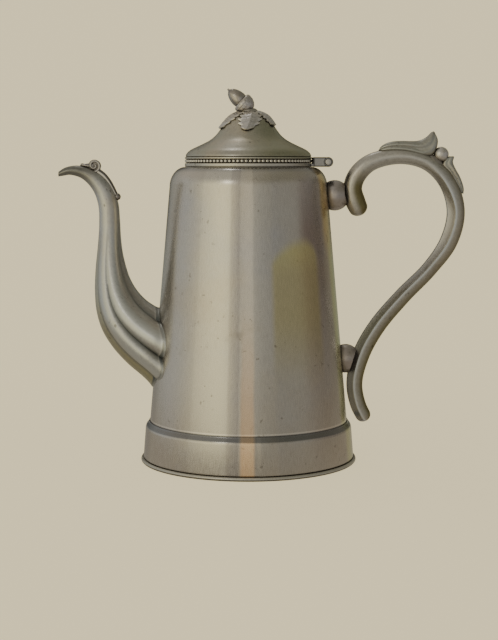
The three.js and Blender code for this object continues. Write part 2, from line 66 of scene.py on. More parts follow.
# ---------------------------------------------------------------- driving sizes
FOOT_RADIUS = high("foot_wire", X)
FOOT_HEIGHT = high("foot_wire", Z)
WALL_BOTTOM_Z = low("body_shell", Z)
WALL_BOTTOM_RADIUS = high("body_shell", X)
WALL_TOP_Z = 197.5  # the straight taper ends and the shoulder begins
WALL_TOP_RADIUS = 56.3
SHOULDER_TOP_Z = high("body_shell", Z)
SHOULDER_TOP_RADIUS = 45.6
MOUTH_RADIUS = 44.0
SHEET = 0.9  # thickness of the body, the lid and the base band

BAND_BOTTOM_Z = low("base_band", Z)
BAND_TOP_Z = high("base_band", Z)
BAND_BOTTOM_RADIUS = high("base_band", X)
BAND_EDGE_RADIUS = 74.4
BAND_EDGE_Z = 25.7

RIM_RADIUS = high("lid_bead_band", X)
COLLAR_TOP_Z = high("mouth_collar", Z)
COLLAR_INNER_RADIUS = 42.5
BEAD_COUNT = 96
BEAD_LOW_Z = low("lid_bead_band", Z)
BEAD_TOP_Z = high("lid_bead_band", Z)
LID_LOW_Z = low("lid_dome", Z)

HINGE_X = 56.4
HINGE_Z = 215.1
KNUCKLE_RADIUS = 3.45
KNUCKLE_WIDTH = 7.7
KNUCKLE_PITCH = 8.0


# ---------------------------------------------------------------- lines and sections
def spline(points, count):
    """count + 1 points on a centripetal Catmull-Rom line through points of any number of coordinates."""
    knots = [Vector(p) for p in points]
    knots = [2 * knots[0] - knots[1], *knots, 2 * knots[-1] - knots[-2]]
    made = []
    for i in range(count + 1):
        place = (len(points) - 1) * i / count
        start = min(int(place), len(points) - 2)
        made.append(spline_point(knots[start : start + 4], place - start))
    return made


def spline_point(four, share):
    """The point at a share of the way from the second of four knots to the third."""
    p0, p1, p2, p3 = four
    before, here, after = (max((b - a).length ** 0.5, 1e-6) for a, b in ((p0, p1), (p1, p2), (p2, p3)))
    leave = ((p1 - p0) / before - (p2 - p0) / (before + here) + (p2 - p1) / here) * here
    arrive = ((p2 - p1) / here - (p3 - p1) / (here + after) + (p3 - p2) / after) * here
    a = 2 * p1 - 2 * p2 + leave + arrive
    b = -3 * p1 + 3 * p2 - 2 * leave - arrive
    return p1 + share * (leave + share * (b + share * a))


class Line:
    """A smooth line that can be read at any share of its length."""

    STEPS = 600

    def __init__(self, points):
        self.table = spline(points, self.STEPS)

    def __call__(self, share):
        place = min(max(share, 0.0), 1.0) * self.STEPS
        start = min(int(place), self.STEPS - 1)
        return self.table[start].lerp(self.table[start + 1], place - start)


def values(numbers):
    """A number that follows evenly spaced stations smoothly, read at a share of their length."""
    line = Line([(i, n) for i, n in enumerate(numbers)])
    return lambda share: line(share)[1]


def lerp(a, b, share):
    """The value at a share of the way from a to b."""
    return a + (b - a) * share


def ease(share):
    """0 to 1 with a soft start and end."""
    share = min(max(share, 0.0), 1.0)
    return share * share * (3 - 2 * share)


def rounded(points, radius, steps=4, closed=True):
    """A polygon of [r, z] points with its corners rounded off."""
    corners = [Vector(p) for p in points]
    made = []
    for i, corner in enumerate(corners):
        if not closed and i in (0, len(corners) - 1):
            made.append(corner)
            continue
        to_last = corners[i - 1] - corner
        to_next = corners[(i + 1) % len(corners)] - corner
        reach = min(radius, 0.45 * to_last.length, 0.45 * to_next.length)
        start = corner + to_last.normalized() * reach
        end = corner + to_next.normalized() * reach
        for k in range(steps + 1):
            share = k / steps
            made.append(start.lerp(corner, share).lerp(corner.lerp(end, share), share))
    return made


# ---------------------------------------------------------------- meshes
def new_piece(name, points, faces, crease=CREASE, **marks):
    """An object from points in millimetres, with coinciding points joined and edges past the crease sharp.

    marks are kept with the mesh, a value per point: the light mark is below 0 where shade is painted and
    above 0 where a highlight is painted, and the olive mark is 1 where olive-brown shade is painted."""
    mesh = bpy.data.meshes.new(name)
    mesh.from_pydata([tuple(Vector(p) * MM) for p in points], [], faces)
    work = bmesh.new()
    work.from_mesh(mesh)
    for mark, numbers in marks.items():
        layer = work.verts.layers.float.new(mark)
        for vertex, value in zip(work.verts, numbers):
            vertex[layer] = value
    bmesh.ops.remove_doubles(work, verts=work.verts, dist=1e-6)
    bmesh.ops.dissolve_degenerate(work, edges=work.edges, dist=1e-7)
    bmesh.ops.recalc_face_normals(work, faces=work.faces)
    for face in work.faces:
        face.smooth = True
    for edge in work.edges:
        edge.smooth = len(edge.link_faces) == 2 and edge.calc_face_angle() < math.radians(crease)
    work.to_mesh(mesh)
    work.free()
    piece = bpy.data.objects.new(name, mesh)
    scene.collection.objects.link(piece)
    return piece


def joined(shapes):
    """(points, faces) of several (points, faces) put together."""
    points, faces = [], []
    for more_points, more_faces in shapes:
        offset = len(points)
        points += [Vector(p) for p in more_points]
        faces += [[i + offset for i in face] for face in more_faces]
    return points, faces


def moved(shape, matrix):
    """A shape placed by a matrix."""
    points, faces = shape
    return [matrix @ Vector(p) for p in points], faces


def band_faces(rings, count, loop=False):
    """Faces between neighbouring rings of count points each, and from last to first in a loop."""
    faces = []
    for row in range(rings if loop else rings - 1):
        here, there = row * count, (row + 1) % rings * count
        for i in range(count):
            after = (i + 1) % count
            faces.append([here + i, here + after, there + after, there + i])
    return faces


def lofted(rings, loop=False):
    """(points, faces) of a tube through rings of equal count, capped at its ends unless it runs in a loop."""
    count = len(rings[0])
    points = [p for ring in rings for p in ring]
    faces = band_faces(len(rings), count, loop)
    if not loop:
        for first, flip in ((0, True), ((len(rings) - 1) * count, False)):
            middle = sum((Vector(p) for p in rings[first // count]), Vector()) / count
            points.append(middle)
            for i in range(count):
                pair = [first + i, first + (i + 1) % count]
                faces.append([*(reversed(pair) if flip else pair), len(points) - 1])
    return points, faces


def circle(radius, z, facets):
    """Points evenly spaced round the Z axis."""
    turns = (2 * math.pi * k / facets for k in range(facets))
    return [Vector((radius * math.cos(a), radius * math.sin(a), z)) for a in turns]


def turned(profile, facets=ROUND, swell=None):
    """(points, faces) of a closed [r, z] profile turned about Z. swell(angle, r, z) adds to the radius."""
    rings = []
    for k in range(facets):
        angle = 2 * math.pi * k / facets
        ring = []
        for r, z in profile:
            reach = r + (swell(angle, r, z) if swell else 0)
            ring.append(Vector((reach * math.cos(angle), reach * math.sin(angle), z)))
        rings.append(ring)
    return lofted(rings, loop=True)


def turned_solid(profile, facets=48):
    """(points, faces) of an [r, z] profile that starts and ends on the axis."""
    return lofted([circle(max(r, 1e-4), z, facets) for r, z in profile])


def ball(radius, rows, columns):
    """(points, faces) of a ball about the origin."""
    turns = (math.pi * i / rows for i in range(rows + 1))
    return turned_solid([(radius * math.sin(a), -radius * math.cos(a)) for a in turns], columns)


def across(shape, place):
    """A shape turned about Z, laid along Y and moved to place."""
    return moved(shape, Matrix.Translation(place) @ Matrix.Rotation(math.pi / 2, 4, "X"))


# ---------------------------------------------------------------- body
def wall_radius(z):
    """Outside radius of the straight wall, or of the shoulder above it."""
    if z <= WALL_TOP_Z:
        share = (z - WALL_BOTTOM_Z) / (WALL_TOP_Z - WALL_BOTTOM_Z)
        return lerp(WALL_BOTTOM_RADIUS, WALL_TOP_RADIUS, share)
    rise = min((z - WALL_TOP_Z) / (SHOULDER_TOP_Z - WALL_TOP_Z), 1.0)
    centre = SHOULDER_TOP_RADIUS - 0.6
    return centre + (WALL_TOP_RADIUS - centre) * math.sqrt(1 - rise * rise)


def shoulder(inset, steps):
    """The quarter ellipse that the wall turns in through, taken in by inset."""
    centre = SHOULDER_TOP_RADIUS - 0.6
    reach = WALL_TOP_RADIUS - centre - inset
    rise = SHOULDER_TOP_Z - WALL_TOP_Z - inset
    return [
        (centre + reach * math.cos(a), WALL_TOP_Z + rise * math.sin(a))
        for a in (math.pi / 2 * i / steps for i in range(steps + 1))
    ]


STRAINER_PLACE = (-65, 82)  # x and z of the middle hole
STRAINER_PITCH = 7.0
STRAINER_HOLE_RADIUS = 1.6
STRAINER_ROWS = (3, 4, 5, 4, 3)  # holes in each row, from the lowest


def strainer_rods():
    """(points, faces) of the rods that pierce the wall behind the spout, in a hexagonal pattern."""
    reach, hole = 20, STRAINER_HOLE_RADIUS
    rod = turned_solid([(0, -reach), (hole, -reach), (hole, reach), (0, reach)], 16)
    rods = []
    for row, holes in enumerate(STRAINER_ROWS):
        z = STRAINER_PLACE[1] + (row - 2) * STRAINER_PITCH * math.sin(math.pi / 3)
        for i in range(holes):
            y = (i - (holes - 1) / 2) * STRAINER_PITCH
            place = Matrix.Translation((STRAINER_PLACE[0], y, z))
            rods.append(moved(rod, place @ Matrix.Rotation(math.pi / 2, 4, "Y")))
    return joined(rods)


def make_body_wall():
    """The hollow tapered wall with its shoulder, pierced behind the spout."""
    taper = [(wall_radius(z), z) for z in (lerp(WALL_BOTTOM_Z, WALL_TOP_Z, i / 24) for i in range(24))]
    inside = [(r - SHEET, z) for r, z in taper]
    bend_in = [(r, z) for r, z in shoulder(SHEET, 12) if r > MOUTH_RADIUS]
    profile = [*taper, *shoulder(0, 14), (MOUTH_RADIUS, SHOULDER_TOP_Z)]
    profile += [(MOUTH_RADIUS, SHOULDER_TOP_Z - SHEET), *reversed(bend_in), *reversed(inside)]
    wall = new_piece("body_wall", *turned(profile))
    rods = new_piece("strainer_rods", *strainer_rods())
    pierce = wall.modifiers.new("strainer", "BOOLEAN")
    pierce.operation = "DIFFERENCE"
    pierce.object = rods
    pierced = bpy.data.meshes.new_from_object(wall.evaluated_get(bpy.context.evaluated_depsgraph_get()))
    wall.modifiers.clear()
    wall.data = pierced
    bpy.data.objects.remove(rods)
    return wall


def make_mouth_rim():
    """The collar that the lid closes on, with a skirt inside the mouth and its top edge in painted shade."""
    skirt = MOUTH_RADIUS - 0.3
    low_z = low("mouth_collar", Z)
    seat = SHOULDER_TOP_Z + 0.1
    top = BEAD_LOW_Z - 0.04
    outline = [(COLLAR_INNER_RADIUS, low_z), (skirt, low_z), (skirt, seat), (RIM_RADIUS - 0.1, seat)]
    outline += [(RIM_RADIUS, top), (COLLAR_INNER_RADIUS, top)]
    outline = rounded(outline, 0.45)
    relief = [-0.8 if z > top - 0.25 else 0.0 for _, z in outline]
    return new_piece("mouth_rim", *turned(outline), relief=relief * ROUND)


def make_floor_plate():
    """The underside: a flat plate with a shallow turned ring near its edge."""
    under, top = low("bottom_plate", Z), high("bottom_plate", Z)
    edge = high("bottom_plate", X)
    profile = [(0, under), (6, under), (6.4, under - 0.15), (6.8, under), (edge - 9, under)]
    profile += [(edge - 8.4, under - 0.25), (edge - 7.8, under), (edge, under), (edge, top), (0, top)]
    return new_piece("floor_plate", *turned_solid(profile, ROUND))


def make_foot_ring():
    """The rolled wire that the pot stands on."""
    inner = WALL_BOTTOM_RADIUS - 0.7
    middle = FOOT_HEIGHT / 2
    bulge = [
        (FOOT_RADIUS - middle + middle * math.cos(a), middle + middle * math.sin(a))
        for a in (math.pi * (i / 12 - 0.5) for i in range(13))
    ]
    return new_piece("foot_ring", *turned([(inner, 0), *bulge, (inner, FOOT_HEIGHT)]))


BAND_SEAM = math.radians(-84)  # the lap of the base band, near the front
BAND_LAP = 0.3


def band_swell(angle, r, z):
    """The band's outer end stands off by the lap at the seam and dies away within a twelfth of a turn."""
    along = (angle - BAND_SEAM) % (2 * math.pi)
    return BAND_LAP * ease(1 - along / (math.pi / 6)) if z > FOOT_HEIGHT else 0


def make_foot_band():
    """The wide band round the foot, bevelled into the wall."""
    touch = wall_radius(BAND_TOP_Z) + 0.05
    outline = [(BAND_BOTTOM_RADIUS - SHEET, BAND_BOTTOM_Z), (BAND_BOTTOM_RADIUS - 0.3, BAND_BOTTOM_Z)]
    outline += [(BAND_BOTTOM_RADIUS, BAND_BOTTOM_Z + 0.8), (BAND_EDGE_RADIUS + 0.15, BAND_EDGE_Z - 0.8)]
    outline += [(BAND_EDGE_RADIUS - 0.35, BAND_EDGE_Z + 0.8), (touch + 0.9, BAND_TOP_Z - 0.9)]
    outline += [(touch + 0.55, BAND_TOP_Z), (touch, BAND_TOP_Z), (touch + 0.2, BAND_EDGE_Z)]
    return new_piece("foot_band", *turned(rounded(outline, 0.5, 3), 360, band_swell), crease=50)


# ---------------------------------------------------------------- spout
SPOUT_UNDER = Line(
    [(-64, 49), (-76.5, 61), (-87, 70), (-97.5, 81.5), (-105.5, 94.5), (-109.5, 108), (-110.6, 122)]
    + [(-110, 138), (-108.2, 155), (-107, 171), (-107.6, 185), (-111.5, 195.5), (-119, 203.3)]
    + [(-127.5, 205.9), (-132, 205.3), (-135.5, 204.8)]
)
SPOUT_OVER = Line(
    [(-50, 104), (-59.5, 107.4), (-66.5, 111.2), (-74, 116.4), (-80.5, 123.6), (-85.2, 132), (-88.4, 142)]
    + [(-90.4, 151.5), (-91.5, 162.5), (-92, 173.5), (-93.3, 187), (-98.5, 199.5), (-108, 208.8)]
    + [(-121.5, 212.6), (-130.8, 211.2), (-135.4, 208.4)]
)
SPOUT_HALF_WIDTH = values([34, 32.5, 29.5, 26, 22, 18, 14.6, 11.7, 9.2, 7.8, 7.1, 6.4, 5.6, 4.9, 4.4, 3.5])
FLUTE_EDGES = (-41, 41, 86, 148, 212, 274, 319)  # creases between the six lobes, in degrees
FLUTE_DEPTH = 0.17
FLUTE_END = 0.58  # share of the spout's length where the flutes have died out
SPOUT_STATIONS = 150
LOBE_STEPS = 12
SPOUT_ROOT_WALL = 1.4
SPOUT_TIP_WALL = 0.7
ROOT_FLARE = 1.1  # the solder roll that the lobes swell into where they meet the body


def lobe_cut(degrees):
    """1 at a crease between two lobes and 0 in a lobe's middle."""
    for start, end in zip(FLUTE_EDGES, FLUTE_EDGES[1:]):
        if start <= degrees <= end:
            return 1 - math.sin(math.pi * (degrees - start) / (end - start)) ** 0.8
    return lobe_cut(degrees - 360)


def flute_fade(share):
    """1 at the spout's root and 0 where the flutes have died out."""
    return min(max(1 - share / FLUTE_END, 0), 1)


def spout_point(degrees, share, inset):
    """A point of the spout's surface at an angle round the section, taken in by inset."""
    under, over = SPOUT_UNDER(share), SPOUT_OVER(share)
    centre = (under + over) / 2
    half = under - centre
    fade = flute_fade(share) ** 0.7
    reach = 1 - FLUTE_DEPTH * fade * lobe_cut(degrees)
    angle = math.radians(degrees)
    tall = (half.length - inset) / half.length * reach * math.cos(angle)
    wide = (SPOUT_HALF_WIDTH(share) - inset) * reach * math.sin(angle)
    place = centre + half * tall
    return Vector((place[0], wide, place[1]))


def root_share(degrees, inset):
    """The share of the spout's length at which its surface comes out of the body."""
    inside, outside = 0.0, 0.4
    for _ in range(24):
        middle = (inside + outside) / 2
        p = spout_point(degrees, middle, inset)
        if math.hypot(p.x, p.y) < wall_radius(p.z):
            inside = middle
        else:
            outside = middle
    return outside


END_LIP = 3.4  # each lobe ends against the body in a turned lip this long, painted darker as shade
LOBE_RUBS = ((34, 4, 0.7), (60, 9, 1.0), (110, 12, 1.0))  # painted highlights along the lobes: degrees from the underside, width, amount


def from_under(degrees):
    """Degrees between a place round the spout's section and its underside."""
    return min(degrees % 360, 360 - degrees % 360)


def lobe_rub(degrees):
    """1 where a painted highlight runs along a lobe's shoulder."""
    away = from_under(degrees)
    return sum(amount * math.exp(-(((away - place) / width) ** 2)) for place, width, amount in LOBE_RUBS)


def spout_relief(degrees, share, from_body):
    """Painted shade in the creases between the lobes, painted highlights along their shoulders, and a lip at
    the body in painted shade with a painted highlight along its edge.
    """
    lip = ease((END_LIP - from_body) / 0.6)
    creases = -0.95 * lobe_cut(degrees) ** 1.8 * flute_fade(share) ** 0.5
    rubbed = 0.75 * lobe_rub(degrees) * flute_fade(share) ** 0.6 * (1 - lip)
    lip_edge = 0.6 * math.exp(-(((from_body - END_LIP) / 0.5) ** 2))
    return creases + rubbed + (lip_edge - 0.6 * lip)


def spout_line(degrees, outer):
    """The spout's surface from the body to the tip at one angle of the section, as (point, painted light,
    painted olive shade).
    """
    root = root_share(degrees, 0 if outer else SPOUT_ROOT_WALL)
    shares = [lerp(root, 1, (i / SPOUT_STATIONS) ** 1.15) for i in range(SPOUT_STATIONS + 1)]
    made = []
    for share in shares:
        flare = -ROOT_FLARE * math.exp(-(((share - root) / 0.012) ** 1.2))
        inset = flare if outer else lerp(SPOUT_ROOT_WALL, SPOUT_TIP_WALL, share)
        made.append(spout_point(degrees, share, inset))
    first = made[0]
    scale = (wall_radius(first.z) + 0.02) / math.hypot(first.x, first.y)
    made[0] = Vector((first.x * scale, first.y * scale, first.z))
    if not outer:
        # the inside of the spout is painted in shade and in olive-brown shade
        return [(p, -0.4, 0.5) for p in made]
    away = from_under(degrees)
    # olive-brown shade is painted over the spout's underside
    under = max(ease((46 - away) / 8), 0.5 * ease((60 - away) / 14))
    line = []
    from_body = 0.0
    for i, (p, share) in enumerate(zip(made, shares)):
        from_body += (p - made[max(i - 1, 0)]).length
        line.append((p, spout_relief(degrees, share, from_body), under * flute_fade(share) ** 0.5))
    return line


def make_spout_half(name, start):
    """One half of the spout, split along the plane Y = 0, from the angle start for half a turn."""
    angles = {float(start), float(start + 180)}
    for a, b in zip(FLUTE_EDGES, FLUTE_EDGES[1:]):
        for turn in (0, 360):
            angles |= {lerp(a, b, i / LOBE_STEPS) + turn for i in range(LOBE_STEPS + 1)}
    angles = sorted(a for a in angles if start <= a <= start + 180)
    lines = [spout_line(a % 360, True) for a in angles]
    lines += [spout_line(a % 360, False) for a in reversed(angles)]
    count = len(lines)
    points, relief, brown = zip(*(line[i] for i in range(SPOUT_STATIONS + 1) for line in lines))
    faces = band_faces(SPOUT_STATIONS + 1, count)
    for first in (0, SPOUT_STATIONS * count):
        last = first + count - 1
        faces += [[first + i, first + i + 1, last - 1 - i, last - i] for i in range(count // 2 - 1)]
    return new_piece(name, points, faces, crease=42, relief=relief, brown=brown)


VOLUTE_CENTRE = (-109.9, 212.6)
VOLUTE_RADIUS = 5.2
VOLUTE_TURNS = 1.35


def make_spout_volute():
    """A rolled strip on the bend of the spout round a sunk core, with a small pointed leaf in front of it."""
    steps = 84
    rings = []
    for i in range(steps + 1):
        share = i / steps
        angle = math.radians(-100) + 2 * math.pi * VOLUTE_TURNS * share
        thick = lerp(0.75, 0.6, share)
        radius = lerp(VOLUTE_RADIUS - thick, 1.0, share)
        wide = lerp(3.3, 2.9, share)
        out = Vector((math.cos(angle), 0, math.sin(angle)))
        centre = Vector((VOLUTE_CENTRE[0], 0, VOLUTE_CENTRE[1])) + out * radius
        section = rounded([(-thick, -wide), (thick, -wide), (thick, wide), (-thick, wide)], 0.45, 3)
        rings.append([centre + out * n + Vector((0, y, 0)) for n, y in section])
    roll = lofted(rings)
    core = turned_solid([(0, -1.9), (4.2, -1.9), (4.2, 1.9), (0, 1.9)], 40)
    core = across(core, (VOLUTE_CENTRE[0], 0, VOLUTE_CENTRE[1]))
    upper = Line([(-120.2, 212.5), (-119.3, 214.1), (-116.5, 213.9), (-113.5, 214.4), (-110.5, 215.5)])
    lower = Line([(-120.2, 212.5), (-117.8, 211.6), (-115, 211.2), (-112.5, 210.4), (-110.5, 209.6)])
    leaf = pillow(upper, lower, leaf_swell(0, 2.6, 0.04, 0.62, 0.7), 28, 10, 0.0)
    # the roll gets a faint painted highlight and the sunk core painted shade
    relief = [0.25] * len(roll[0]) + [-1.0] * len(core[0]) + [0.0] * len(leaf[0])
    return new_piece("spout_volute", *joined([roll, core, leaf]), relief=relief)


def leaf_swell(thin, full, start, span, power):
    """Half the width of a leaf along its length, as a function: it swells and draws in again to the tip."""
    return lambda share: thin + full * math.sin(math.pi * min(start + share * span, 1)) ** power


def pillow(upper, lower, half_width, steps, sides, groove):
    """(points, faces) of a leaf between an upper and a lower [x, z] line, puffed out in Y by half_width.

    groove pinches each side along its middle, as a share of the half width."""
    rings = []
    for i in range(steps + 1):
        share = i / steps
        top, bottom = upper(share), lower(share)
        ring = []
        for k in range(4 * sides):
            angle = 2 * math.pi * k / (4 * sides)
            rise = 0.5 + 0.5 * math.sin(angle)
            side = math.cos(angle)
            pinch = 1 - groove * math.exp(-(((rise - 0.5) / 0.14) ** 2))
            place = bottom.lerp(top, rise)
            wide = half_width(share) * math.copysign(abs(side) ** 0.75, side) * pinch
            ring.append(Vector((place[0], wide, place[1])))
        rings.append(ring)
    return lofted(rings)


def make_spout_ridge():
    """The strap down the back of the spout from the volute to its end bead."""
    spine = Line([(-107.6, 209.2), (-103.1, 205.8), (-99.4, 201.2), (-96.7, 196.4), (-94.6, 192.2)])
    rings, relief = [], []
    steps = 40
    for i in range(steps + 1):
        share = i / steps
        here = spine(share)
        ahead = (spine(share + 0.02) - spine(share - 0.02)).normalized()
        out = Vector((-ahead[1], ahead[0]))
        tall = lerp(1.7, 1.3, share)
        wide = lerp(2.9, 2.1, share)
        outline = [(-tall, -wide), (0.2 * tall, -wide), (tall, -0.3 * wide)]
        outline += [(n, -y) for n, y in reversed(outline)]
        section = rounded(outline, 0.4, 2)
        rings.append([Vector((here[0] + out[0] * n, y, here[1] + out[1] * n)) for n, y in section])
        # the strap's side edges get a painted highlight and the rest painted shade
        relief += [0.9 if abs(y) > 0.9 * wide and n < 0 else -0.5 for n, y in section]
    end_bead = moved(ball(2.6, 20, 32), Matrix.Translation((-93.9, 0, 190.4)))
    # the end bead is a touch darker, painted shade
    relief += [0.0, 0.0] + [-0.1] * len(end_bead[0])
    return new_piece("spout_ridge", *joined([lofted(rings), end_bead]), relief=relief)


# ---------------------------------------------------------------- handle
HANDLE_STATION_POINTS = (
    [(81.2, 177.4), (76.5, 187.2), (74.5, 196.2), (77.3, 205.3), (87.2, 214.7), (108.4, 219.2), (128, 214.3)]
    + [(142.4, 200.5), (148.6, 180), (143.9, 158.5), (130.2, 138.6), (111, 118.8), (92.7, 96.8)]
    + [(81.7, 76.5), (77, 56), (79.6, 40.5), (85.8, 28.0)]
)
HANDLE_LINE = Line(HANDLE_STATION_POINTS)
HANDLE_DEPTH = values([12.4, 14.3, 13.4, 13.2, 12.3, 11.3, 11.1, 12.2, 12.6, 12.6, 11.1, 11.6, 12.1, 12.3]
                      + [11.4, 11.2, 10.6])
HANDLE_BREADTH = values([9.6, 12.2, 12.6, 12.8, 13, 13.4, 13.6, 13.6, 13.4, 13.2, 12.8, 12.6, 12.6, 12.4]
                        + [11.4, 10.2, 8.2])
HANDLE_STATIONS = 220
HANDLE_END = 5.2  # length of the rounded ends, which are part of the handle's line
ARRIS = values([-0.2] * 6 + [-0.3, -0.2, -0.09, -0.11, -0.16, -0.17, -0.16, -0.14, -0.12, -0.13, -0.16])
ARRIS_START = 0.36  # share of the handle's length where the round bar begins to turn into the ridged one
ARRIS_FULL = 0.47
OUTER_STEPS = 14
COVE_STEPS = 9


def handle_half_section(share, side):
    """Half of the handle's section as (outward, sideways, painted light, painted olive shade): round, an
    arris, a cove, a flat.

    Near the upper scroll the bar is plain and round, and the arris grows out of it further along."""
    arris = ARRIS(share)
    start, cove_end = Vector((arris, 0.5)), Vector((-0.5, 0.2))
    bow = start.lerp(cove_end, 0.5) + Vector((0.02, -0.03))
    ridged = []
    for i in range(OUTER_STEPS + 1):
        a = math.pi / 2 * i / OUTER_STEPS
        # a painted highlight runs along the outer face up to the arris
        rubbed = ease((i - OUTER_STEPS + 2.5) / 2)
        ridged.append((arris + (0.5 - arris) * math.cos(a), 0.5 * math.sin(a) ** 0.92, rubbed))
    for i in range(1, COVE_STEPS + 1):
        s = i / COVE_STEPS
        point = start.lerp(bow, s).lerp(bow.lerp(cove_end, s), s)
        # the arris carries a painted highlight, and the cove and the flat beyond it are in painted shade
        ridged.append((point[0], point[1], 0.6 if i == 1 else -0.6))
    ridged += [(-0.515, 0.1, -0.6), (-0.52, 0.0, -0.6)]
    grown = ease((share - ARRIS_START) / (ARRIS_FULL - ARRIS_START))
    hook = ease((0.27 - share) / 0.14)
    section = []
    for i, (n, b, relief) in enumerate(ridged):
        inward = i / (len(ridged) - 1)
        a = math.pi * inward
        # olive-brown shade is painted over the outer faces further down the handle and round the upper scroll
        brown = ease(1.4 - i / OUTER_STEPS * 1.4) * grown * lerp(0.65, 1, ease((share - 0.5) / 0.3))
        brown += hook * max(ease((inward - 0.38) / 0.25), 0.7 * ease((0.3 - inward) / 0.25))
        section.append((lerp(0.5 * math.cos(a), n, grown), side * lerp(0.5 * math.sin(a), b, grown),
                        relief * grown, brown))
    return section


def handle_ring(share, side, size):
    """Half a section of the handle from its outer middle to its inner middle, as (point, painted light,
    painted olive shade).
    """
    centre = HANDLE_LINE(share)
    step = 0.004
    ahead = (HANDLE_LINE(share + step) - HANDLE_LINE(share - step)).normalized()
    out = Vector((-ahead[1], ahead[0]))
    depth, breadth = HANDLE_DEPTH(share) * size, HANDLE_BREADTH(share) * size
    return [(Vector((centre[0] + out[0] * n * depth, b * breadth, centre[1] + out[1] * n * depth)), *marks)
            for n, b, *marks in handle_half_section(share, side)]


def make_handle_half(name, side):
    """Half of the handle. Its ends are drawn in to a round over the first and last few millimetres."""
    spans = len(HANDLE_STATION_POINTS) - 1
    first, last = (
        HANDLE_END / (Vector(a) - Vector(b)).length / spans
        for a, b in (HANDLE_STATION_POINTS[:2], HANDLE_STATION_POINTS[-2:])
    )
    steps = 14
    turns = [math.pi / 2 * i / steps for i in range(steps)]
    stations = [(first * (1 - math.cos(a)), math.sin(a)) for a in turns]
    stations += [(lerp(first, 1 - last, i / HANDLE_STATIONS), 1.0) for i in range(HANDLE_STATIONS + 1)]
    stations += [(1 - last * (1 - math.cos(a)), math.sin(a)) for a in reversed(turns)]
    rings = [handle_ring(share, side, max(size, 0.02)) for share, size in stations]
    points, faces = lofted([[point for point, _, _ in ring] for ring in rings])
    relief = [value for ring in rings for _, value, _ in ring] + [0.0, 0.0]
    brown = [value for ring in rings for _, _, value in ring] + [0.0, 0.0]
    return new_piece(name, points, faces, crease=24, relief=relief, brown=brown)


def handle_face(z, start, end):
    """X of the handle's face towards the pot at a height, between two shares of the handle's line."""
    shares = [lerp(start, end, i / 60) for i in range(61)]
    share = min(shares, key=lambda s: abs(HANDLE_LINE(s)[1] - z))
    return HANDLE_LINE(share)[0] - HANDLE_DEPTH(share) / 2


def make_ball(name, centre, radius, start, end):
    """A ball soldered between the wall and the handle, flattened where it would enter either of them.

    start and end are the stretch of the handle's line that it touches."""
    place = Matrix.Translation(centre) @ Matrix.Rotation(math.pi / 2, 4, "Y")
    points, faces = moved(ball(radius, 56, 72), place)
    for p in points:
        reach = wall_radius(p.z) + 0.03
        if math.hypot(p.x, p.y) < reach:
            p.x = math.sqrt(reach * reach - p.y * p.y)
        p.x = min(p.x, handle_face(p.z, start, end) + 0.5)
    return new_piece(name, points, faces)


def make_thumb_leaf():
    """The long leaf on the handle's crown, whose tip curls up away from the pot."""
    upper = Line([(92.6, 223.2), (94.6, 226.2), (98.6, 228.6), (103.6, 229.8), (110, 230.1), (116, 230),
                  (121, 230.3), (125.2, 231.9), (128.2, 234.2), (130, 236.1), (131.8, 236.9)])
    lower = Line([(92.6, 223.2), (96, 222.6), (101, 222.4), (106.5, 222.2), (112.5, 221.6), (119, 220),
                  (125.5, 218.2), (130.8, 219.6), (134, 224.6), (134.9, 230.6), (132.6, 236.2)])
    leaf = pillow(upper, lower, leaf_swell(0.3, 5.1, 0.02, 0.97, 0.6), 90, 10, 0.2)
    return new_piece("thumb_piece_leaf", *leaf)


def make_small_leaf():
    """The short leaf that lies down the outside of the handle under the bead."""
    upper = Line([(143.6, 219.2), (146.6, 218.9), (145.9, 215.2), (147.8, 210.4), (150.8, 205.2),
                  (153, 199.8), (154, 195.6), (153.7, 192.4)])
    lower = Line([(143.4, 219.2), (140.0, 217.4), (137.4, 212.2), (142.2, 207.6), (145.6, 202),
                  (148.2, 197), (150.4, 194), (153.7, 192.4)])
    leaf = pillow(upper, lower, leaf_swell(0.25, 3.5, 0.06, 0.93, 0.7), 60, 8, 0.2)
    return new_piece("handle_small_leaf", *leaf)


def make_handle_pearl():
    """The round bead between the two leaves, on its turned seat."""
    pearl = moved(ball(5.4, 28, 40), Matrix.Translation((137.4, 0, 220.5)))
    seat = turned_solid([(0, -4), (8.8, -4), (8.6, -1.8), (7.2, 0.4), (5.0, 1.7), (0, 1.9)], 36)
    place = Matrix.Translation((134.0, 0, 216.3)) @ Matrix.Rotation(math.radians(38), 4, "Y")
    place = place @ Matrix.Diagonal((1, 0.6, 1, 1))
    # the seat is in painted shade
    relief = [0.0] * len(pearl[0]) + [-0.8] * len(seat[0])
    return new_piece("handle_pearl", *joined([pearl, moved(seat, place)]), relief=relief)


# ---------------------------------------------------------------- hinge
LUG_START_X = 45.7


def barrel(y, width):
    """A knuckle of the hinge with softened ends, bored for the pin, and its painted light: a ring of painted
    shade round each end.
    """
    half, bore, edge, rim = width / 2, 1.5, 0.35, 0.5
    ends = [(bore, half, 0), (KNUCKLE_RADIUS - edge - rim, half, 0), (KNUCKLE_RADIUS - edge, half, -1),
            (KNUCKLE_RADIUS, half - edge, -1), (KNUCKLE_RADIUS, half - edge - rim, 0)]
    profile = [(r, -z) for r, z, _ in ends] + [(r, z) for r, z, _ in reversed(ends)]
    relief = [value for _, _, value in ends + ends[::-1]]
    return across(turned(profile, 48), (HINGE_X, y, HINGE_Z)), relief * 48


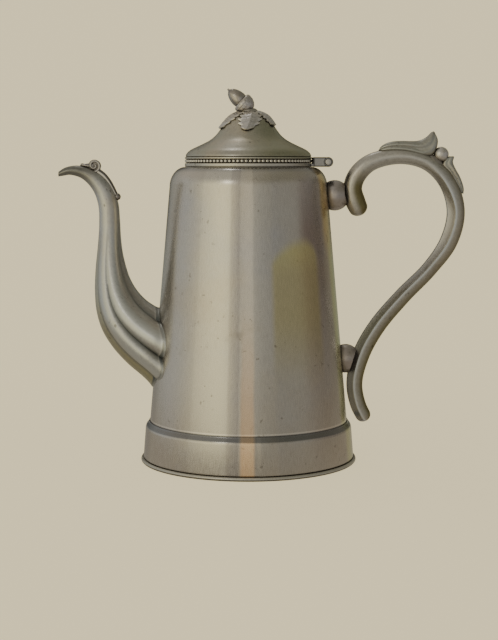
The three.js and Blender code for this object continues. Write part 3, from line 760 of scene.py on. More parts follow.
def block(outline, width, y):
    """An [x, z] outline made solid, width wide and centred at y, with softened edges in painted shade, and
    its painted light.
    """
    middle = sum((Vector(p) for p in outline), Vector((0, 0))) / len(outline)
    half, soft, dark, rim = width / 2, 0.3, 0.9, 1.8
    sections = [(half, rim, 0.0), (half, dark, -0.9), (half, soft, -0.9)]
    sections += [(half - soft, 0, -0.9), (half - rim, 0, 0)]
    sections = [(-side, shrink, value) for side, shrink, value in sections] + sections[::-1]
    rings, relief = [], []
    for side, shrink, value in sections:
        ring = []
        for p in rounded(outline, 0.6, 3):
            inward = (middle - p).normalized() * shrink
            ring.append(Vector((p[0] + inward[0], y + side, p[1] + inward[1])))
        rings.append(ring)
        relief += [value] * len(ring)
    return lofted(rings), relief + [0.0, 0.0]


def hinge_piece(name, parts):
    """A piece of the hinge from (shape, painted light) pairs."""
    shapes, reliefs = zip(*parts)
    return new_piece(name, *joined(shapes), relief=[value for relief in reliefs for value in relief])


def make_hinge_lugs():
    """The pot's half of the hinge: two lugs with knuckles on a strap that lies round the collar."""
    low_z, high_z = HINGE_Z - KNUCKLE_RADIUS + 0.05, HINGE_Z + KNUCKLE_RADIUS - 0.05
    end_x = HINGE_X - 1.4
    outline = [(LUG_START_X, low_z), (end_x, low_z), (end_x, high_z), (LUG_START_X, high_z)]
    parts = []
    for y in (-KNUCKLE_PITCH, KNUCKLE_PITCH):
        parts += [barrel(y, KNUCKLE_WIDTH), block(outline, KNUCKLE_WIDTH - 0.3, y)]
    half_width = KNUCKLE_PITCH + KNUCKLE_WIDTH / 2 - 0.2
    low_edge, high_edge = SHOULDER_TOP_Z + 0.25, COLLAR_TOP_Z - 0.15
    section = rounded([(0.1, low_edge), (2.1, low_edge), (2.1, high_edge), (0.1, high_edge)], 0.4, 3)
    strap = []
    for i in range(17):
        y = lerp(-half_width, half_width, i / 16)
        strap.append([Vector((math.sqrt((RIM_RADIUS + n) ** 2 - y * y), y, z)) for n, z in section])
    strap = lofted(strap)
    # the strap is painted a little darker, as shade
    return hinge_piece("hinge_lugs", [*parts, (strap, [-0.3] * len(strap[0]))])


def make_hinge_pin():
    """The pin, with a low rivet head at each end, painted shade round the heads' edges and a painted
    highlight on the rest.
    """
    half = KNUCKLE_PITCH + KNUCKLE_WIDTH / 2
    head = [(2.5, -0.05), (2.5, 0.2), (2.2, 0.5), (1.9, 0.6), (0.9, 0.7)]
    profile = [(0, -half - 0.75)] + [(r, -half - z) for r, z in reversed(head)] + [(1.35, -half)]
    profile += [(1.35, half)] + [(r, half + z) for r, z in head] + [(0, half + 0.75)]
    facets = 40
    relief = [value for r, _ in profile for value in [-1.0 if r >= 2.2 else 0.5] * facets] + [0.5, 0.5]
    pin = across(turned_solid(profile, facets), (HINGE_X, 0, HINGE_Z))
    return new_piece("hinge_pin_rod", *pin, relief=relief)


def make_lid_arm():
    """The lid's half of the hinge: the middle knuckle on an arm from the rim."""
    high_z = HINGE_Z + KNUCKLE_RADIUS - 0.05
    outline = [(45.5, COLLAR_TOP_Z + 0.55), (49.2, COLLAR_TOP_Z + 0.55), (53.8, HINGE_Z - 2.1)]
    outline += [(HINGE_X - 0.6, HINGE_Z), (HINGE_X - 0.6, high_z), (45.5, high_z - 0.2)]
    return hinge_piece("lid_arm", [barrel(0, KNUCKLE_WIDTH), block(outline, KNUCKLE_WIDTH - 0.3, 0)])


# ---------------------------------------------------------------- lid
DOME = Line(
    [(44.9, 218.9), (44.3, 220.7), (42.9, 222.4), (40.6, 224), (33.7, 227.3), (27.4, 230.6), (23.2, 234.1)]
    + [(19.8, 238.5), (17.1, 242.8), (13.6, 246.5), (7.5, 249.2), (0, 249.9)]
)
STUD_RADIUS = 1.5


def make_lid_shell():
    """The hollow domed lid with its stepped rim and the hole for the finial's stud."""
    bore = 42.3
    low_z = LID_LOW_Z - 0.25
    steps = ((0.45, 0), (0.05, 0.35), (0, 0.75), (0.15, 1.15), (0.75, 1.35), (0.95, 1.6))
    rim = [(bore, low_z)] + [(RIM_RADIUS - inward, low_z + up) for inward, up in steps]
    dome = [DOME(i / 70) for i in range(1, 69)]
    hole = STUD_RADIUS + 0.3
    inside = [Vector((p[0] - 0.8 * SHEET, p[1] - 0.8 * SHEET)) for p in dome if p[0] > hole + 1.5]
    profile = [*rim, *((p[0], p[1]) for p in dome), (hole, 249.85), (hole, 248.9)]
    profile += [(p[0], p[1]) for p in reversed(inside)]
    return new_piece("lid_shell", *turned(profile), crease=40)


def make_lid_beads():
    """The row of beads, each a little ball on a backing ring."""
    middle = (BEAD_LOW_Z + BEAD_TOP_Z) / 2
    bead_radius = (BEAD_TOP_Z - BEAD_LOW_Z) / 2
    reach = RIM_RADIUS - bead_radius
    bead = ball(bead_radius, 8, 12)
    shapes = []
    for k in range(BEAD_COUNT):
        angle = 2 * math.pi * (k + 0.5) / BEAD_COUNT
        place = (reach * math.cos(angle), reach * math.sin(angle), middle)
        shapes.append(moved(bead, Matrix.Translation(place)))
    inner, outer = 42.6, RIM_RADIUS - 1.35
    backing = [(inner, BEAD_LOW_Z), (outer, BEAD_LOW_Z), (outer + 0.1, middle)]
    backing += [(outer, BEAD_TOP_Z), (inner, BEAD_TOP_Z)]
    return new_piece("lid_beads", *joined([*shapes, turned(backing)]))


def make_lid_sleeve():
    """The short sleeve that drops into the mouth, with its lower edge drawn in."""
    low_z, top = low("lid_inner_flange", Z), high("lid_inner_flange", Z)
    outer = high("lid_inner_flange", X)
    inner = outer - 0.9
    outline = [(inner, low_z), (outer - 0.4, low_z), (outer, low_z + 1.2), (outer, top), (inner, top)]
    return new_piece("lid_sleeve", *turned(rounded(outline, 0.3, 3)))


LEAF_LENGTHS = (1.03, 0.86, 0.92, 0.95, 0.97)  # of the leaves, from the front one anticlockwise
LEAF_START = math.radians(287)
LEAF_TWIST = math.radians(-21)  # the leaves swirl by this much from stalk to tip
LEAF_SHARE = 0.385  # of the lid's outline, from the apex down, that a leaf covers
LEAF_WIDTH = values([2.2, 3.6, 5.2, 7.4, 6.2, 9.2, 7.3, 9.6, 7.0, 8.4, 5.2, 5.0, 1.2])
LOBE_STATIONS = (0.25, 0.42, 0.58, 0.75)  # where a side vein runs out to a lobe


def leaf_vein(share, side):
    """1 in the groove of a side vein and 0 away from it."""
    deep = sum(math.exp(-(((share - station + 0.08 - 0.1 * side) / 0.02) ** 2)) for station in LOBE_STATIONS)
    return min(deep, 1) * ease(side * 6) * ease((1 - side) * 5)


def leaf_lobe(share, side):
    """1 on the curled tip of a lobe."""
    near = sum(math.exp(-(((share - station) / 0.03) ** 2)) for station in (*LOBE_STATIONS, 0.97))
    return min(near, 1) * ease((side - 0.5) / 0.4)


def leaf_height(share, across_leaf):
    """Height of a leaf above its sheet: a crowned blade, a raised midrib, grooved veins and curled lobes."""
    side = abs(across_leaf)
    crown = 1.0 * (1 - side**1.6)
    rib = 0.5 * math.exp(-((side / 0.1) ** 2)) * (1 - 0.6 * share)
    details = -0.25 * leaf_vein(share, side) + 0.8 * leaf_lobe(share, side)
    return crown + rib + details + 0.5 * ease(3 * share - 2)


def leaf_point(turn, length, share, across_leaf, lift):
    """A point of a leaf, which lies along the dome from the finial outwards, lifted off it."""
    place = 1 - LEAF_SHARE * (0.04 + 0.96 * share * length)
    down, further = DOME(place), DOME(place + 0.015)
    normal = Vector((further[1] - down[1], down[0] - further[0])).normalized()
    radius = down[0] + lift * normal[0]
    sideways = across_leaf * LEAF_WIDTH(share) / (down[0] + 2.2)
    angle = turn + LEAF_TWIST * share + sideways
    return Vector((radius * math.cos(angle), radius * math.sin(angle), down[1] + lift * normal[1]))


def oak_leaf(turn, length, lift):
    """(points, faces) and painted light of one lobed leaf lying over the dome: painted highlights on the lobe
    tips, painted shade in the veins and over the underside.
    """
    rows, half = 60, 12
    top = [k / half for k in range(-half, half + 1)]
    rings, relief = [], []
    for i in range(rows + 1):
        share = i / rows
        face = [leaf_point(turn, length, share, a, lift + 0.5 + leaf_height(share, a)) for a in top]
        back = [leaf_point(turn, length, share, a, lift + leaf_height(share, a) * 0.5) for a in reversed(top)]
        rings.append(face + back)
        relief += [1.2 * leaf_lobe(share, abs(a)) - 0.4 * leaf_vein(share, abs(a)) for a in top]
        relief += [-0.9] * len(top)
    return lofted(rings), relief + [0.0, 0.0]


def make_oak_leaves():
    """The swirl of leaves under the acorn and their boss. Every other leaf lies a little higher."""
    leaves, relief = [], []
    for i, length in enumerate(LEAF_LENGTHS):
        turn = LEAF_START + 2 * math.pi * i / len(LEAF_LENGTHS)
        leaf, shades = oak_leaf(turn, length, 0.12 + 0.15 * (i % 2))
        leaves.append(leaf)
        relief += shades
    boss = turned_solid([(0, 249.9), (6.0, 249.8), (6.8, 250.7), (6.2, 252), (4.8, 253), (0, 253.3)], 40)
    # the boss is in painted shade
    relief += [-0.9] * len(boss[0])
    return new_piece("oak_leaves", *joined([*leaves, boss]), crease=50, relief=relief)


ACORN_BASE = (-5.2, 0, 257.9)  # centre of the cup's rim
ACORN_TILT = math.radians(-48)
ACORN_PLACE = Matrix.Translation(ACORN_BASE) @ Matrix.Rotation(ACORN_TILT, 4, "Y")
SCALE_ROWS = 6
SCALES_ROUND = 16


def make_acorn_kernel():
    """The smooth nut of the acorn with its little point."""
    curve = spline([(5.2, 0.1), (5.45, 2.2), (5.1, 5), (4.2, 7.8), (2.7, 10.2), (1.05, 11.5)], 36)
    tip = [(0.72, 11.9), (0.7, 12.6), (0.45, 12.95), (0, 13.0)]
    profile = [(0, 0.1), *((p[0], p[1]) for p in curve), *tip]
    return new_piece("acorn_kernel", *moved(turned_solid(profile, 56), ACORN_PLACE), crease=50)


def make_acorn_cap():
    """The acorn's cup, covered in rows of overlapping scales, on its short stalk."""
    steps, facets = 60, 96
    outline = [(1.4, -10.0), (3.8, -9.0), (6.0, -6.6), (7.0, -3.5), (7.1, -1.1), (6.5, 0.05)]
    rings = []
    for i, (r, z) in enumerate(spline(outline, steps)):
        row = i / steps * SCALE_ROWS
        shift = 0.5 if int(row) % 2 else 0.0
        ring = []
        for k in range(facets):
            angle = 2 * math.pi * k / facets
            bulge = abs(math.sin(math.pi * (SCALES_ROUND * k / facets + shift)))
            reach = r + 0.28 * (1 - row % 1) * bulge**0.5 * ease(r / 3) * ease(-z / 1.2)
            ring.append(Vector((reach * math.cos(angle), reach * math.sin(angle), z)))
        rings.append(ring)
    rings += [circle(r, z, facets) for r, z in ((5.9, 0.15), (5.5, -0.4), (1e-4, -0.5))]
    cup = moved(lofted(rings), ACORN_PLACE)
    stalk_line = Line([(0.2, 251.6), (0.5, 252.4), (0.6, 253.2), (0.0, 254.4)])
    stalk = []
    for i in range(13):
        x, z = stalk_line(i / 12)
        reach = lerp(3.2, 2.2, ease(i / 6))
        stalk.append([p + Vector((x, 0, 0)) for p in circle(reach, z, 28)])
    return new_piece("acorn_cap", *joined([cup, lofted(stalk)]), crease=50)


def make_stud():
    """The stud that holds the finial, with a thread on the end that the nut takes."""
    low_z, top = low("finial_stud", Z), high("finial_stud", Z)
    profile = [(0, low_z), (1.1, low_z)]
    pitch = 0.5
    z = low_z + 0.2
    while z < low_z + 4:
        profile += [(STUD_RADIUS, z), (STUD_RADIUS - 0.25, z + pitch / 2)]
        z += pitch
    profile += [(STUD_RADIUS, z), (STUD_RADIUS, top), (0, top)]
    return new_piece("finial_thread", *turned_solid(profile, 28))


def make_nut():
    """The six-sided nut inside the lid that holds the finial."""
    low_z, top = low("finial_nut", Z), high("finial_nut", Z)
    reach = high("finial_nut", Y)
    turns = [math.pi / 3 * k for k in range(6)]
    rings = []
    for z, size in ((low_z, 0.86), (low_z + 0.3, 1.0), (top - 0.3, 1.0), (top, 0.86)):
        corners = [Vector((reach * size * math.sin(a), reach * size * math.cos(a), z)) for a in turns]
        rings.append([a.lerp(b, s / 4) for a, b in zip(corners, corners[1:] + corners[:1]) for s in range(4)])
    bore = STUD_RADIUS + 0.05
    for z in (top, low_z):
        rings.append([Vector((bore * p.x, bore * p.y, 0)) / math.hypot(p.x, p.y) + Vector((0, 0, z))
                      for p in rings[0]])
    return new_piece("finial_hex_nut", *lofted(rings, loop=True))


# ---------------------------------------------------------------- shader groups
def new_group(name, inputs, outputs):
    """An empty shader group with named sockets. inputs are (name, kind, default), outputs (name, kind)."""
    group = bpy.data.node_groups.new(name, "ShaderNodeTree")
    for socket, kind, default in inputs:
        made = group.interface.new_socket(socket, in_out="INPUT", socket_type="NodeSocket" + kind)
        if default is not None:
            made.default_value = default
    for socket, kind in outputs:
        group.interface.new_socket(socket, in_out="OUTPUT", socket_type="NodeSocket" + kind)
    start = group.nodes.new("NodeGroupInput")
    end = group.nodes.new("NodeGroupOutput")
    return group, start, end


class Tree:
    """Shorthand for wiring a node tree."""

    def __init__(self, tree):
        self.tree = tree

    def node(self, kind, settings=None, **inputs):
        """A node with its settings, and its inputs by name with _ for a space."""
        made = self.tree.nodes.new(kind)
        for key, value in (settings or {}).items():
            setattr(made, key, value)
        for key, value in inputs.items():
            self.put(made.inputs[key.replace("_", " ")], value)
        return made

    def put(self, socket, value):
        """Links an output to a socket, or sets the socket's own value."""
        if isinstance(value, bpy.types.NodeSocket):
            self.tree.links.new(value, socket)
        else:
            socket.default_value = value

    def math(self, operation, a, b=0.0, clamp=False):
        made = self.tree.nodes.new("ShaderNodeMath")
        made.operation = operation
        made.use_clamp = clamp
        self.put(made.inputs[0], a)
        self.put(made.inputs[1], b)
        return made.outputs[0]

    def times(self, a, b, clamp=False):
        return self.math("MULTIPLY", a, b, clamp)

    def mix(self, share, a, b, blend="MIX"):
        """Mixes two colours."""
        made = self.tree.nodes.new("ShaderNodeMix")
        made.data_type = "RGBA"
        made.blend_type = blend
        made.clamp_factor = True
        self.put(made.inputs["Factor"], share)
        self.put(made.inputs["A"], a)
        self.put(made.inputs["B"], b)
        return made.outputs["Result"]

    def tinted(self, share, colour, tone):
        """The colour, multiplied by a tone as far as share says."""
        return self.mix(share, colour, self.mix(1.0, colour, tone, "MULTIPLY"))

    def remap(self, value, from_low, from_high, to_low=0.0, to_high=1.0, smooth=True):
        """The value carried from one range to another and held at its ends."""
        made = self.tree.nodes.new("ShaderNodeMapRange")
        made.interpolation_type = "SMOOTHSTEP" if smooth else "LINEAR"
        for socket, number in zip(("Value", "From Min", "From Max", "To Min", "To Max"),
                                  (value, from_low, from_high, to_low, to_high)):
            self.put(made.inputs[socket], number)
        return made.outputs["Result"]

    def window(self, value, start, full, fading, gone):
        """0 below start, 1 from full to fading, and 0 again past gone."""
        return self.times(self.remap(value, start, full), self.remap(value, gone, fading))

    def noise(self, vector, scale, detail=3.0, rough=0.55):
        made = self.node("ShaderNodeTexNoise", Vector=vector, Scale=scale, Detail=detail, Roughness=rough)
        return made.outputs["Fac"]

    def group(self, tree, **inputs):
        """The outputs of a shader group."""
        return self.node("ShaderNodeGroup", {"node_tree": tree}, **inputs).outputs

    def mark(self, name):
        """A value that is kept with the mesh."""
        return self.node("ShaderNodeAttribute", {"attribute_name": name}).outputs["Fac"]

    def axes(self, vector):
        parts = self.node("ShaderNodeSeparateXYZ", Vector=vector).outputs
        return parts["X"], parts["Y"], parts["Z"]

    def length(self, vector):
        made = self.node("ShaderNodeVectorMath", {"operation": "LENGTH"})
        self.put(made.inputs[0], vector)
        return made.outputs["Value"]

    def ramp(self, place, stops):
        """The colour at a place from 0 to 1 between stops of (place, colour)."""
        made = self.node("ShaderNodeValToRGB", Fac=place)
        elements = made.color_ramp.elements
        while len(elements) < len(stops):
            elements.new(1.0)
        for element, (position, colour) in zip(elements, stops):
            element.position = position
            element.color = (*colour, 1)
        return made.outputs["Color"]

    def shader_mix(self, share, a, b):
        made = self.node("ShaderNodeMixShader", Fac=share)
        self.put(made.inputs[1], a)
        self.put(made.inputs[2], b)
        return made.outputs[0]


WHITE = (1, 1, 1, 1)
GREY = (0.5, 0.5, 0.5, 1)


def make_toning_group():
    """Cloudy old toning: drifts from the clean colour to warm and cool tints, with dull stains and specks."""
    inputs = [("Vector", "Vector", None), ("Clean", "Color", WHITE), ("Warm", "Color", WHITE)]
    inputs += [("Cool", "Color", WHITE), ("Stain", "Color", (0.2, 0.2, 0.2, 1)), ("Amount", "Float", 0.5)]
    inputs += [("Cloud Size", "Float", 20.0), ("Speck Size", "Float", 220.0)]
    group, start, end = new_group("old_toning", inputs, [("Color", "Color"), ("Dullness", "Float")])
    t = Tree(group)
    given = start.outputs
    vector, amount = given["Vector"], given["Amount"]
    elsewhere = t.node("ShaderNodeMapping", Vector=vector, Location=(3.1, 7.7, 1.9)).outputs["Vector"]
    warm_clouds = t.noise(vector, given["Cloud Size"], 4.0, 0.6)
    cool_clouds = t.noise(elsewhere, given["Cloud Size"], 4.0, 0.6)
    warm = t.times(t.remap(warm_clouds, 0.46, 0.68), amount)
    cool = t.times(t.remap(cool_clouds, 0.5, 0.7), amount)
    colour = t.mix(warm, given["Clean"], given["Warm"])
    colour = t.mix(cool, colour, given["Cool"])
    fine = t.noise(vector, given["Speck Size"], 2.0, 0.5)
    coarse = t.noise(vector, t.times(given["Cloud Size"], 2.6), 3.0, 0.7)
    specks = t.times(t.remap(fine, 0.66, 0.72), t.remap(coarse, 0.45, 0.6))
    stains = t.times(t.remap(coarse, 0.6, 0.76), 0.45)
    dark = t.times(t.math("MAXIMUM", specks, stains), amount)
    t.put(end.inputs["Color"], t.mix(dark, colour, given["Stain"]))
    t.put(end.inputs["Dullness"], t.math("ADD", t.times(warm, 0.35), t.times(dark, 0.8), clamp=True))
    return group


def make_grain_group():
    """Fine rubbing marks that run along one axis, and broad soft hammering under them."""
    inputs = [("Vector", "Vector", None), ("Stretch", "Vector", (1, 1, 1)), ("Fineness", "Float", 400.0),
              ("Hammer Size", "Float", 60.0), ("Hammer Depth", "Float", 0.3)]
    group, start, end = new_group("rubbed_grain", inputs, [("Marks", "Float"), ("Height", "Float")])
    t = Tree(group)
    given = start.outputs
    stretched = t.node("ShaderNodeVectorMath", {"operation": "MULTIPLY"})
    t.put(stretched.inputs[0], given["Vector"])
    t.put(stretched.inputs[1], given["Stretch"])
    marks = t.noise(stretched.outputs[0], given["Fineness"], 4.0, 0.65)
    hammer = t.noise(given["Vector"], given["Hammer Size"], 2.0, 0.45)
    t.put(end.inputs["Marks"], marks)
    raised = t.times(hammer, given["Hammer Depth"])
    t.put(end.inputs["Height"], t.math("ADD", t.times(marks, 0.12), raised))
    return group


def make_wear_group():
    """Bright rubbed edges, and black tarnish in the recesses that also stands as painted shade where surfaces
    close in, between parts too.
    """
    inputs = [("Reach", "Float", 0.004), ("Dirt", "Float", 1.0), ("Wear", "Float", 1.0)]
    group, start, end = new_group("edges_and_recesses", inputs, [("Dirt", "Float"), ("Wear", "Float")])
    t = Tree(group)
    given = start.outputs
    open_to_air = t.node("ShaderNodeAmbientOcclusion", {"samples": 8}, Distance=given["Reach"]).outputs["AO"]
    t.put(end.inputs["Dirt"], t.times(t.remap(open_to_air, 0.86, 0.3), given["Dirt"], clamp=True))
    edge = t.node("ShaderNodeNewGeometry").outputs["Pointiness"]
    t.put(end.inputs["Wear"], t.times(t.remap(edge, 0.52, 0.6), given["Wear"], clamp=True))
    return group


def make_layering_group():
    """Lays painted light and marks of use over a toned colour: streaks, painted shade and painted highlights
    from the mesh's light mark, rubbed edges, and black tarnish with painted shade where surfaces close in.
    """
    inputs = [(name, "Color", GREY) for name in ("Color", "Recess", "Rubbed", "Tarnish")]
    inputs += [(name, "Float", 0.0) for name in ("Marks", "Relief", "Wear", "Dirt")]
    group, start, end = new_group("layers_of_use", inputs, [("Color", "Color")])
    t = Tree(group)
    given = start.outputs
    streaks = t.remap(given["Marks"], 0.3, 0.7, 0.9, 1.06)
    streak_colour = t.node("ShaderNodeCombineColor", Red=streaks, Green=streaks, Blue=streaks).outputs[0]
    colour = t.mix(1.0, given["Color"], streak_colour, "MULTIPLY")
    colour = t.mix(t.times(given["Relief"], -0.9, clamp=True), colour, given["Recess"])
    colour = t.mix(t.times(given["Relief"], 0.8, clamp=True), colour, given["Rubbed"])
    colour = t.mix(given["Wear"], colour, given["Rubbed"])
    t.put(end.inputs["Color"], t.mix(given["Dirt"], colour, given["Tarnish"]))
    return group


TONING = make_toning_group()
GRAIN = make_grain_group()
EDGES = make_wear_group()
LAYERS = make_layering_group()


# ---------------------------------------------------------------- silver
CLEAN_SILVER = (0.62, 0.58, 0.505, 1)
WARM_TONING = (0.60, 0.52, 0.40, 1)
COOL_TONING = (0.53, 0.52, 0.54, 1)
# black tarnish, which also serves as painted shade where surfaces close in
BLACK_TARNISH = (0.07, 0.055, 0.04, 1)
# the colour that painted shade darkens to
DARK_RECESS = (0.13, 0.12, 0.12, 1)
# the colour of rubbed edges and of painted highlights
RUBBED_EDGE = (0.82, 0.77, 0.66, 1)
COOL_RUBBED_EDGE = (0.76, 0.78, 0.76, 1)


def silver(name, clean=CLEAN_SILVER, warm=WARM_TONING, cool=COOL_TONING, toning=0.5, rough=(0.26, 0.42),
           stretch=(6, 6, 1), cloud=16.0, hammer=(70.0, 0.3), bump=0.6, reach=0.004, dirt=0.9, wear=0.5,
           recess=DARK_RECESS, rubbed=RUBBED_EDGE, tint=None):
    """A silver finish. tint(t, position, colour) may paint light and shade that belong to one piece."""
    material = bpy.data.materials.new(name)
    material.use_nodes = True
    nodes = material.node_tree
    shader = nodes.nodes["Principled BSDF"]
    shader.inputs["Metallic"].default_value = 1.0
    t = Tree(nodes)
    position = t.node("ShaderNodeTexCoord").outputs["Object"]
    aged = t.group(TONING, Vector=position, Clean=clean, Warm=warm, Cool=cool, Stain=BLACK_TARNISH,
                   Amount=toning, Cloud_Size=cloud, Speck_Size=260.0)
    grain = t.group(GRAIN, Vector=position, Stretch=stretch, Fineness=260.0, Hammer_Size=hammer[0],
                    Hammer_Depth=hammer[1])
    edges = t.group(EDGES, Reach=reach, Dirt=dirt, Wear=wear)
    colour = tint(t, position, aged["Color"]) if tint else aged["Color"]
    layered = t.group(LAYERS, Color=colour, Recess=recess, Rubbed=rubbed, Tarnish=BLACK_TARNISH,
                      Marks=grain["Marks"], Relief=t.mark("relief"), Wear=edges["Wear"], Dirt=edges["Dirt"])
    t.put(shader.inputs["Base Color"], layered["Color"])
    dull = t.math("ADD", t.remap(grain["Marks"], 0.25, 0.75, *rough), t.times(aged["Dullness"], 0.25))
    t.put(shader.inputs["Roughness"], t.math("ADD", dull, t.times(edges["Dirt"], 0.3), clamp=True))
    surface = t.node("ShaderNodeBump", Strength=bump, Distance=0.0003, Height=grain["Height"])
    t.put(shader.inputs["Normal"], surface.outputs["Normal"])
    return material


# Painted reflections on the wall: lighter and darker upright bands round its front half, from the spout's
# side (-1) to the handle's side (1).
WALL_BANDS = [
    (-1.00, (0.95, 0.96, 0.98)), (-0.80, (1.02, 1.00, 1.03)), (-0.565, (0.96, 0.95, 0.95)),
    (-0.545, (1.05, 1.04, 1.03)), (-0.22, (1.06, 1.06, 1.05)), (-0.195, (0.86, 0.85, 0.86)),
    (-0.125, (0.82, 0.81, 0.83)), (-0.105, (0.76, 0.75, 0.78)), (-0.085, (0.96, 0.95, 0.94)),
    (0.045, (1.10, 1.08, 1.05)), (0.065, (0.87, 0.87, 0.87)), (0.25, (0.87, 0.86, 0.85)),
    (0.30, (0.84, 0.84, 0.86)), (0.55, (0.88, 0.87, 0.87)), (0.64, (0.86, 0.83, 0.83)),
    (0.90, (0.90, 0.87, 0.85)), (0.965, (0.95, 0.94, 0.88)),
    (1.00, (1.35, 1.38, 1.30)),
]
# Tints for the wall's painted reflections, painted shade and painted highlights, and below them the painted
# olive-brown and darker shade of the handle, spout and lid.
PEACH = (1.10, 0.90, 0.74, 1)
OLIVE = (1.00, 0.94, 0.62, 1)
OCHRE = (1.38, 1.16, 0.68, 1)
GREEN = (1.22, 1.30, 0.95, 1)
PLUM = (0.74, 0.68, 0.68, 1)
BLUE_GREY = (0.50, 0.53, 0.60, 1)
PALE_LINE = (1.40, 1.40, 1.40, 1)
SHOULDER_TONE = (1.10, 1.11, 1.14, 1)
UNDER_RIM = (0.62, 0.64, 0.69, 1)
PATCH_TIP = (1.16, 1.20, 1.08, 1)
BAND_PEACH = (1.45, 1.36, 1.20, 1)
LOW_LEFT = (0.70, 0.70, 0.72, 1)
OLIVE_BROWN = (0.42, 0.38, 0.19, 1)
SPOUT_OLIVE = (0.84, 0.80, 0.52, 1)
DULL_TIP = (0.45, 0.44, 0.41, 1)
LID_GREEN = (0.76, 0.80, 0.66, 1)


def wall_toning(t, position, colour):
    """Painted light on the wall: upright bands of painted reflection, peach at the front, olive and ochre
    towards the handle, with painted light on the shoulder, painted shade under the collar and on the band's
    bevel, and a painted highlight along the bevel's top edge.
    """
    x, y, z = t.axes(position)
    flat = t.node("ShaderNodeCombineXYZ", X=x, Y=y).outputs[0]
    waver = t.times(t.math("SUBTRACT", t.noise(position, 30.0, 2.0), 0.5), 0.03)
    turn = t.math("ADD", t.math("DIVIDE", x, t.length(flat)), waver)

    def band(low_edge, high_edge, soft):
        """1 between two places round the wall."""
        return t.window(turn, low_edge - soft, low_edge + soft, high_edge - soft, high_edge + soft)

    stops = [((place + 1) / 2, tone) for place, tone in WALL_BANDS]
    bands = t.ramp(t.remap(turn, -1.0, 1.0, smooth=False), stops)
    stripe = band(-0.075, 0.055, 0.02)
    off_tip = t.math("SUBTRACT", turn, 0.65)
    slope = t.times(t.times(off_tip, off_tip), t.remap(off_tip, -0.01, 0.01, 0.09, 0.5))
    arch = t.times(t.remap(t.math("ADD", z, slope), 0.166, 0.156), t.remap(z, 0.05, 0.115))
    patch = t.times(arch, band(0.265, 0.78, 0.035))
    plum = t.times(band(0.62, 0.88, 0.06), t.window(z, 0.06, 0.16, 0.165, 0.21))
    # every layer is painted light: reflection bands and patches, painted shade low on the left, under the
    # collar and on the bevel, and painted highlights
    layers = [
        (1.0, bands),
        (t.times(stripe, t.remap(z, 0.13, 0.03)), PEACH),
        (t.times(stripe, t.remap(z, 0.031, 0.028)), BAND_PEACH),
        (patch, OLIVE),
        (t.times(patch, t.remap(z, 0.135, 0.158)), PATCH_TIP),
        (t.times(plum, t.math("SUBTRACT", 1.0, patch)), PLUM),
        (t.times(t.remap(turn, -0.9, -0.97), t.remap(z, 0.12, 0.06)), LOW_LEFT),
        (t.times(band(0.885, 0.975, 0.03), t.remap(z, 0.14, 0.175)), OCHRE),
        (t.times(band(0.93, 0.985, 0.02), t.remap(z, 0.175, 0.14)), GREEN),
        (t.remap(z, 0.198, 0.206), SHOULDER_TONE),
        (t.remap(z, 0.2075, 0.2105), UNDER_RIM),
        (t.window(z, 0.0256, 0.0264, 0.0299, 0.0303), BLUE_GREY),
        (t.window(z, 0.0301, 0.0304, 0.0311, 0.0314), PALE_LINE),
    ]
    # the painted light covers the front half only
    front = t.remap(y, 0.02, -0.02)
    for mask, tone in layers:
        colour = t.tinted(t.times(mask, front), colour, tone)
    return colour


def browned(t, position, colour):
    """Olive-brown painted shade where the mesh is marked for it."""
    return t.tinted(t.mark("brown"), colour, OLIVE_BROWN)


def spout_toning(t, position, colour):
    """The spout's tip is painted darker as shade, and olive-brown shade is painted over its underside."""
    x, _, z = t.axes(position)
    tip = t.times(t.remap(x, -0.100, -0.122), t.remap(z, 0.17, 0.2))
    return t.tinted(t.mark("brown"), t.tinted(tip, colour, DULL_TIP), SPOUT_OLIVE)


def lid_toning(t, position, colour):
    """The lid is painted darker and greener towards the hinge, as shade."""
    x, _, _ = t.axes(position)
    return t.tinted(t.remap(x, -0.012, 0.022), colour, LID_GREEN)


body_silver = silver("body_silver", stretch=(7, 7, 0.5), toning=0.4, rough=(0.21, 0.3), tint=wall_toning)
spout_silver = silver("spout_silver", clean=(0.54, 0.54, 0.515, 1), stretch=(1.5, 5, 1.5), reach=0.005,
                      dirt=0.6, recess=(0.16, 0.175, 0.175, 1), rubbed=(0.66, 0.68, 0.65, 1),
                      tint=spout_toning)
handle_silver = silver("handle_silver", clean=(0.52, 0.50, 0.455, 1), stretch=(1.5, 5, 1.5), dirt=0.45,
                       reach=0.005, recess=(0.40, 0.40, 0.43, 1), rubbed=COOL_RUBBED_EDGE, tint=browned)
# The balls are a darker copy of the silver, painted shade.
ball_silver = silver("ball_silver", clean=(0.42, 0.37, 0.34, 1), stretch=(3, 3, 3), reach=0.006, dirt=0.7)
lid_silver = silver("lid_silver", clean=(0.50, 0.475, 0.41, 1), cool=(0.44, 0.46, 0.37, 1),
                    stretch=(3, 3, 3), toning=0.6, cloud=24.0, tint=lid_toning)
rim_silver = silver("rim_silver", clean=(0.64, 0.61, 0.53, 1), stretch=(1, 1, 14), toning=0.3)
bead_silver = silver("bead_silver", clean=(0.74, 0.70, 0.60, 1), toning=0.2, rough=(0.2, 0.32),
                     reach=0.0016, dirt=1.6, wear=0.0, bump=0.2)
leaf_silver = silver("leaf_silver", clean=(0.66, 0.63, 0.60, 1), reach=0.003, dirt=0.6, wear=0.6,
                     stretch=(3, 3, 3), cloud=60.0)
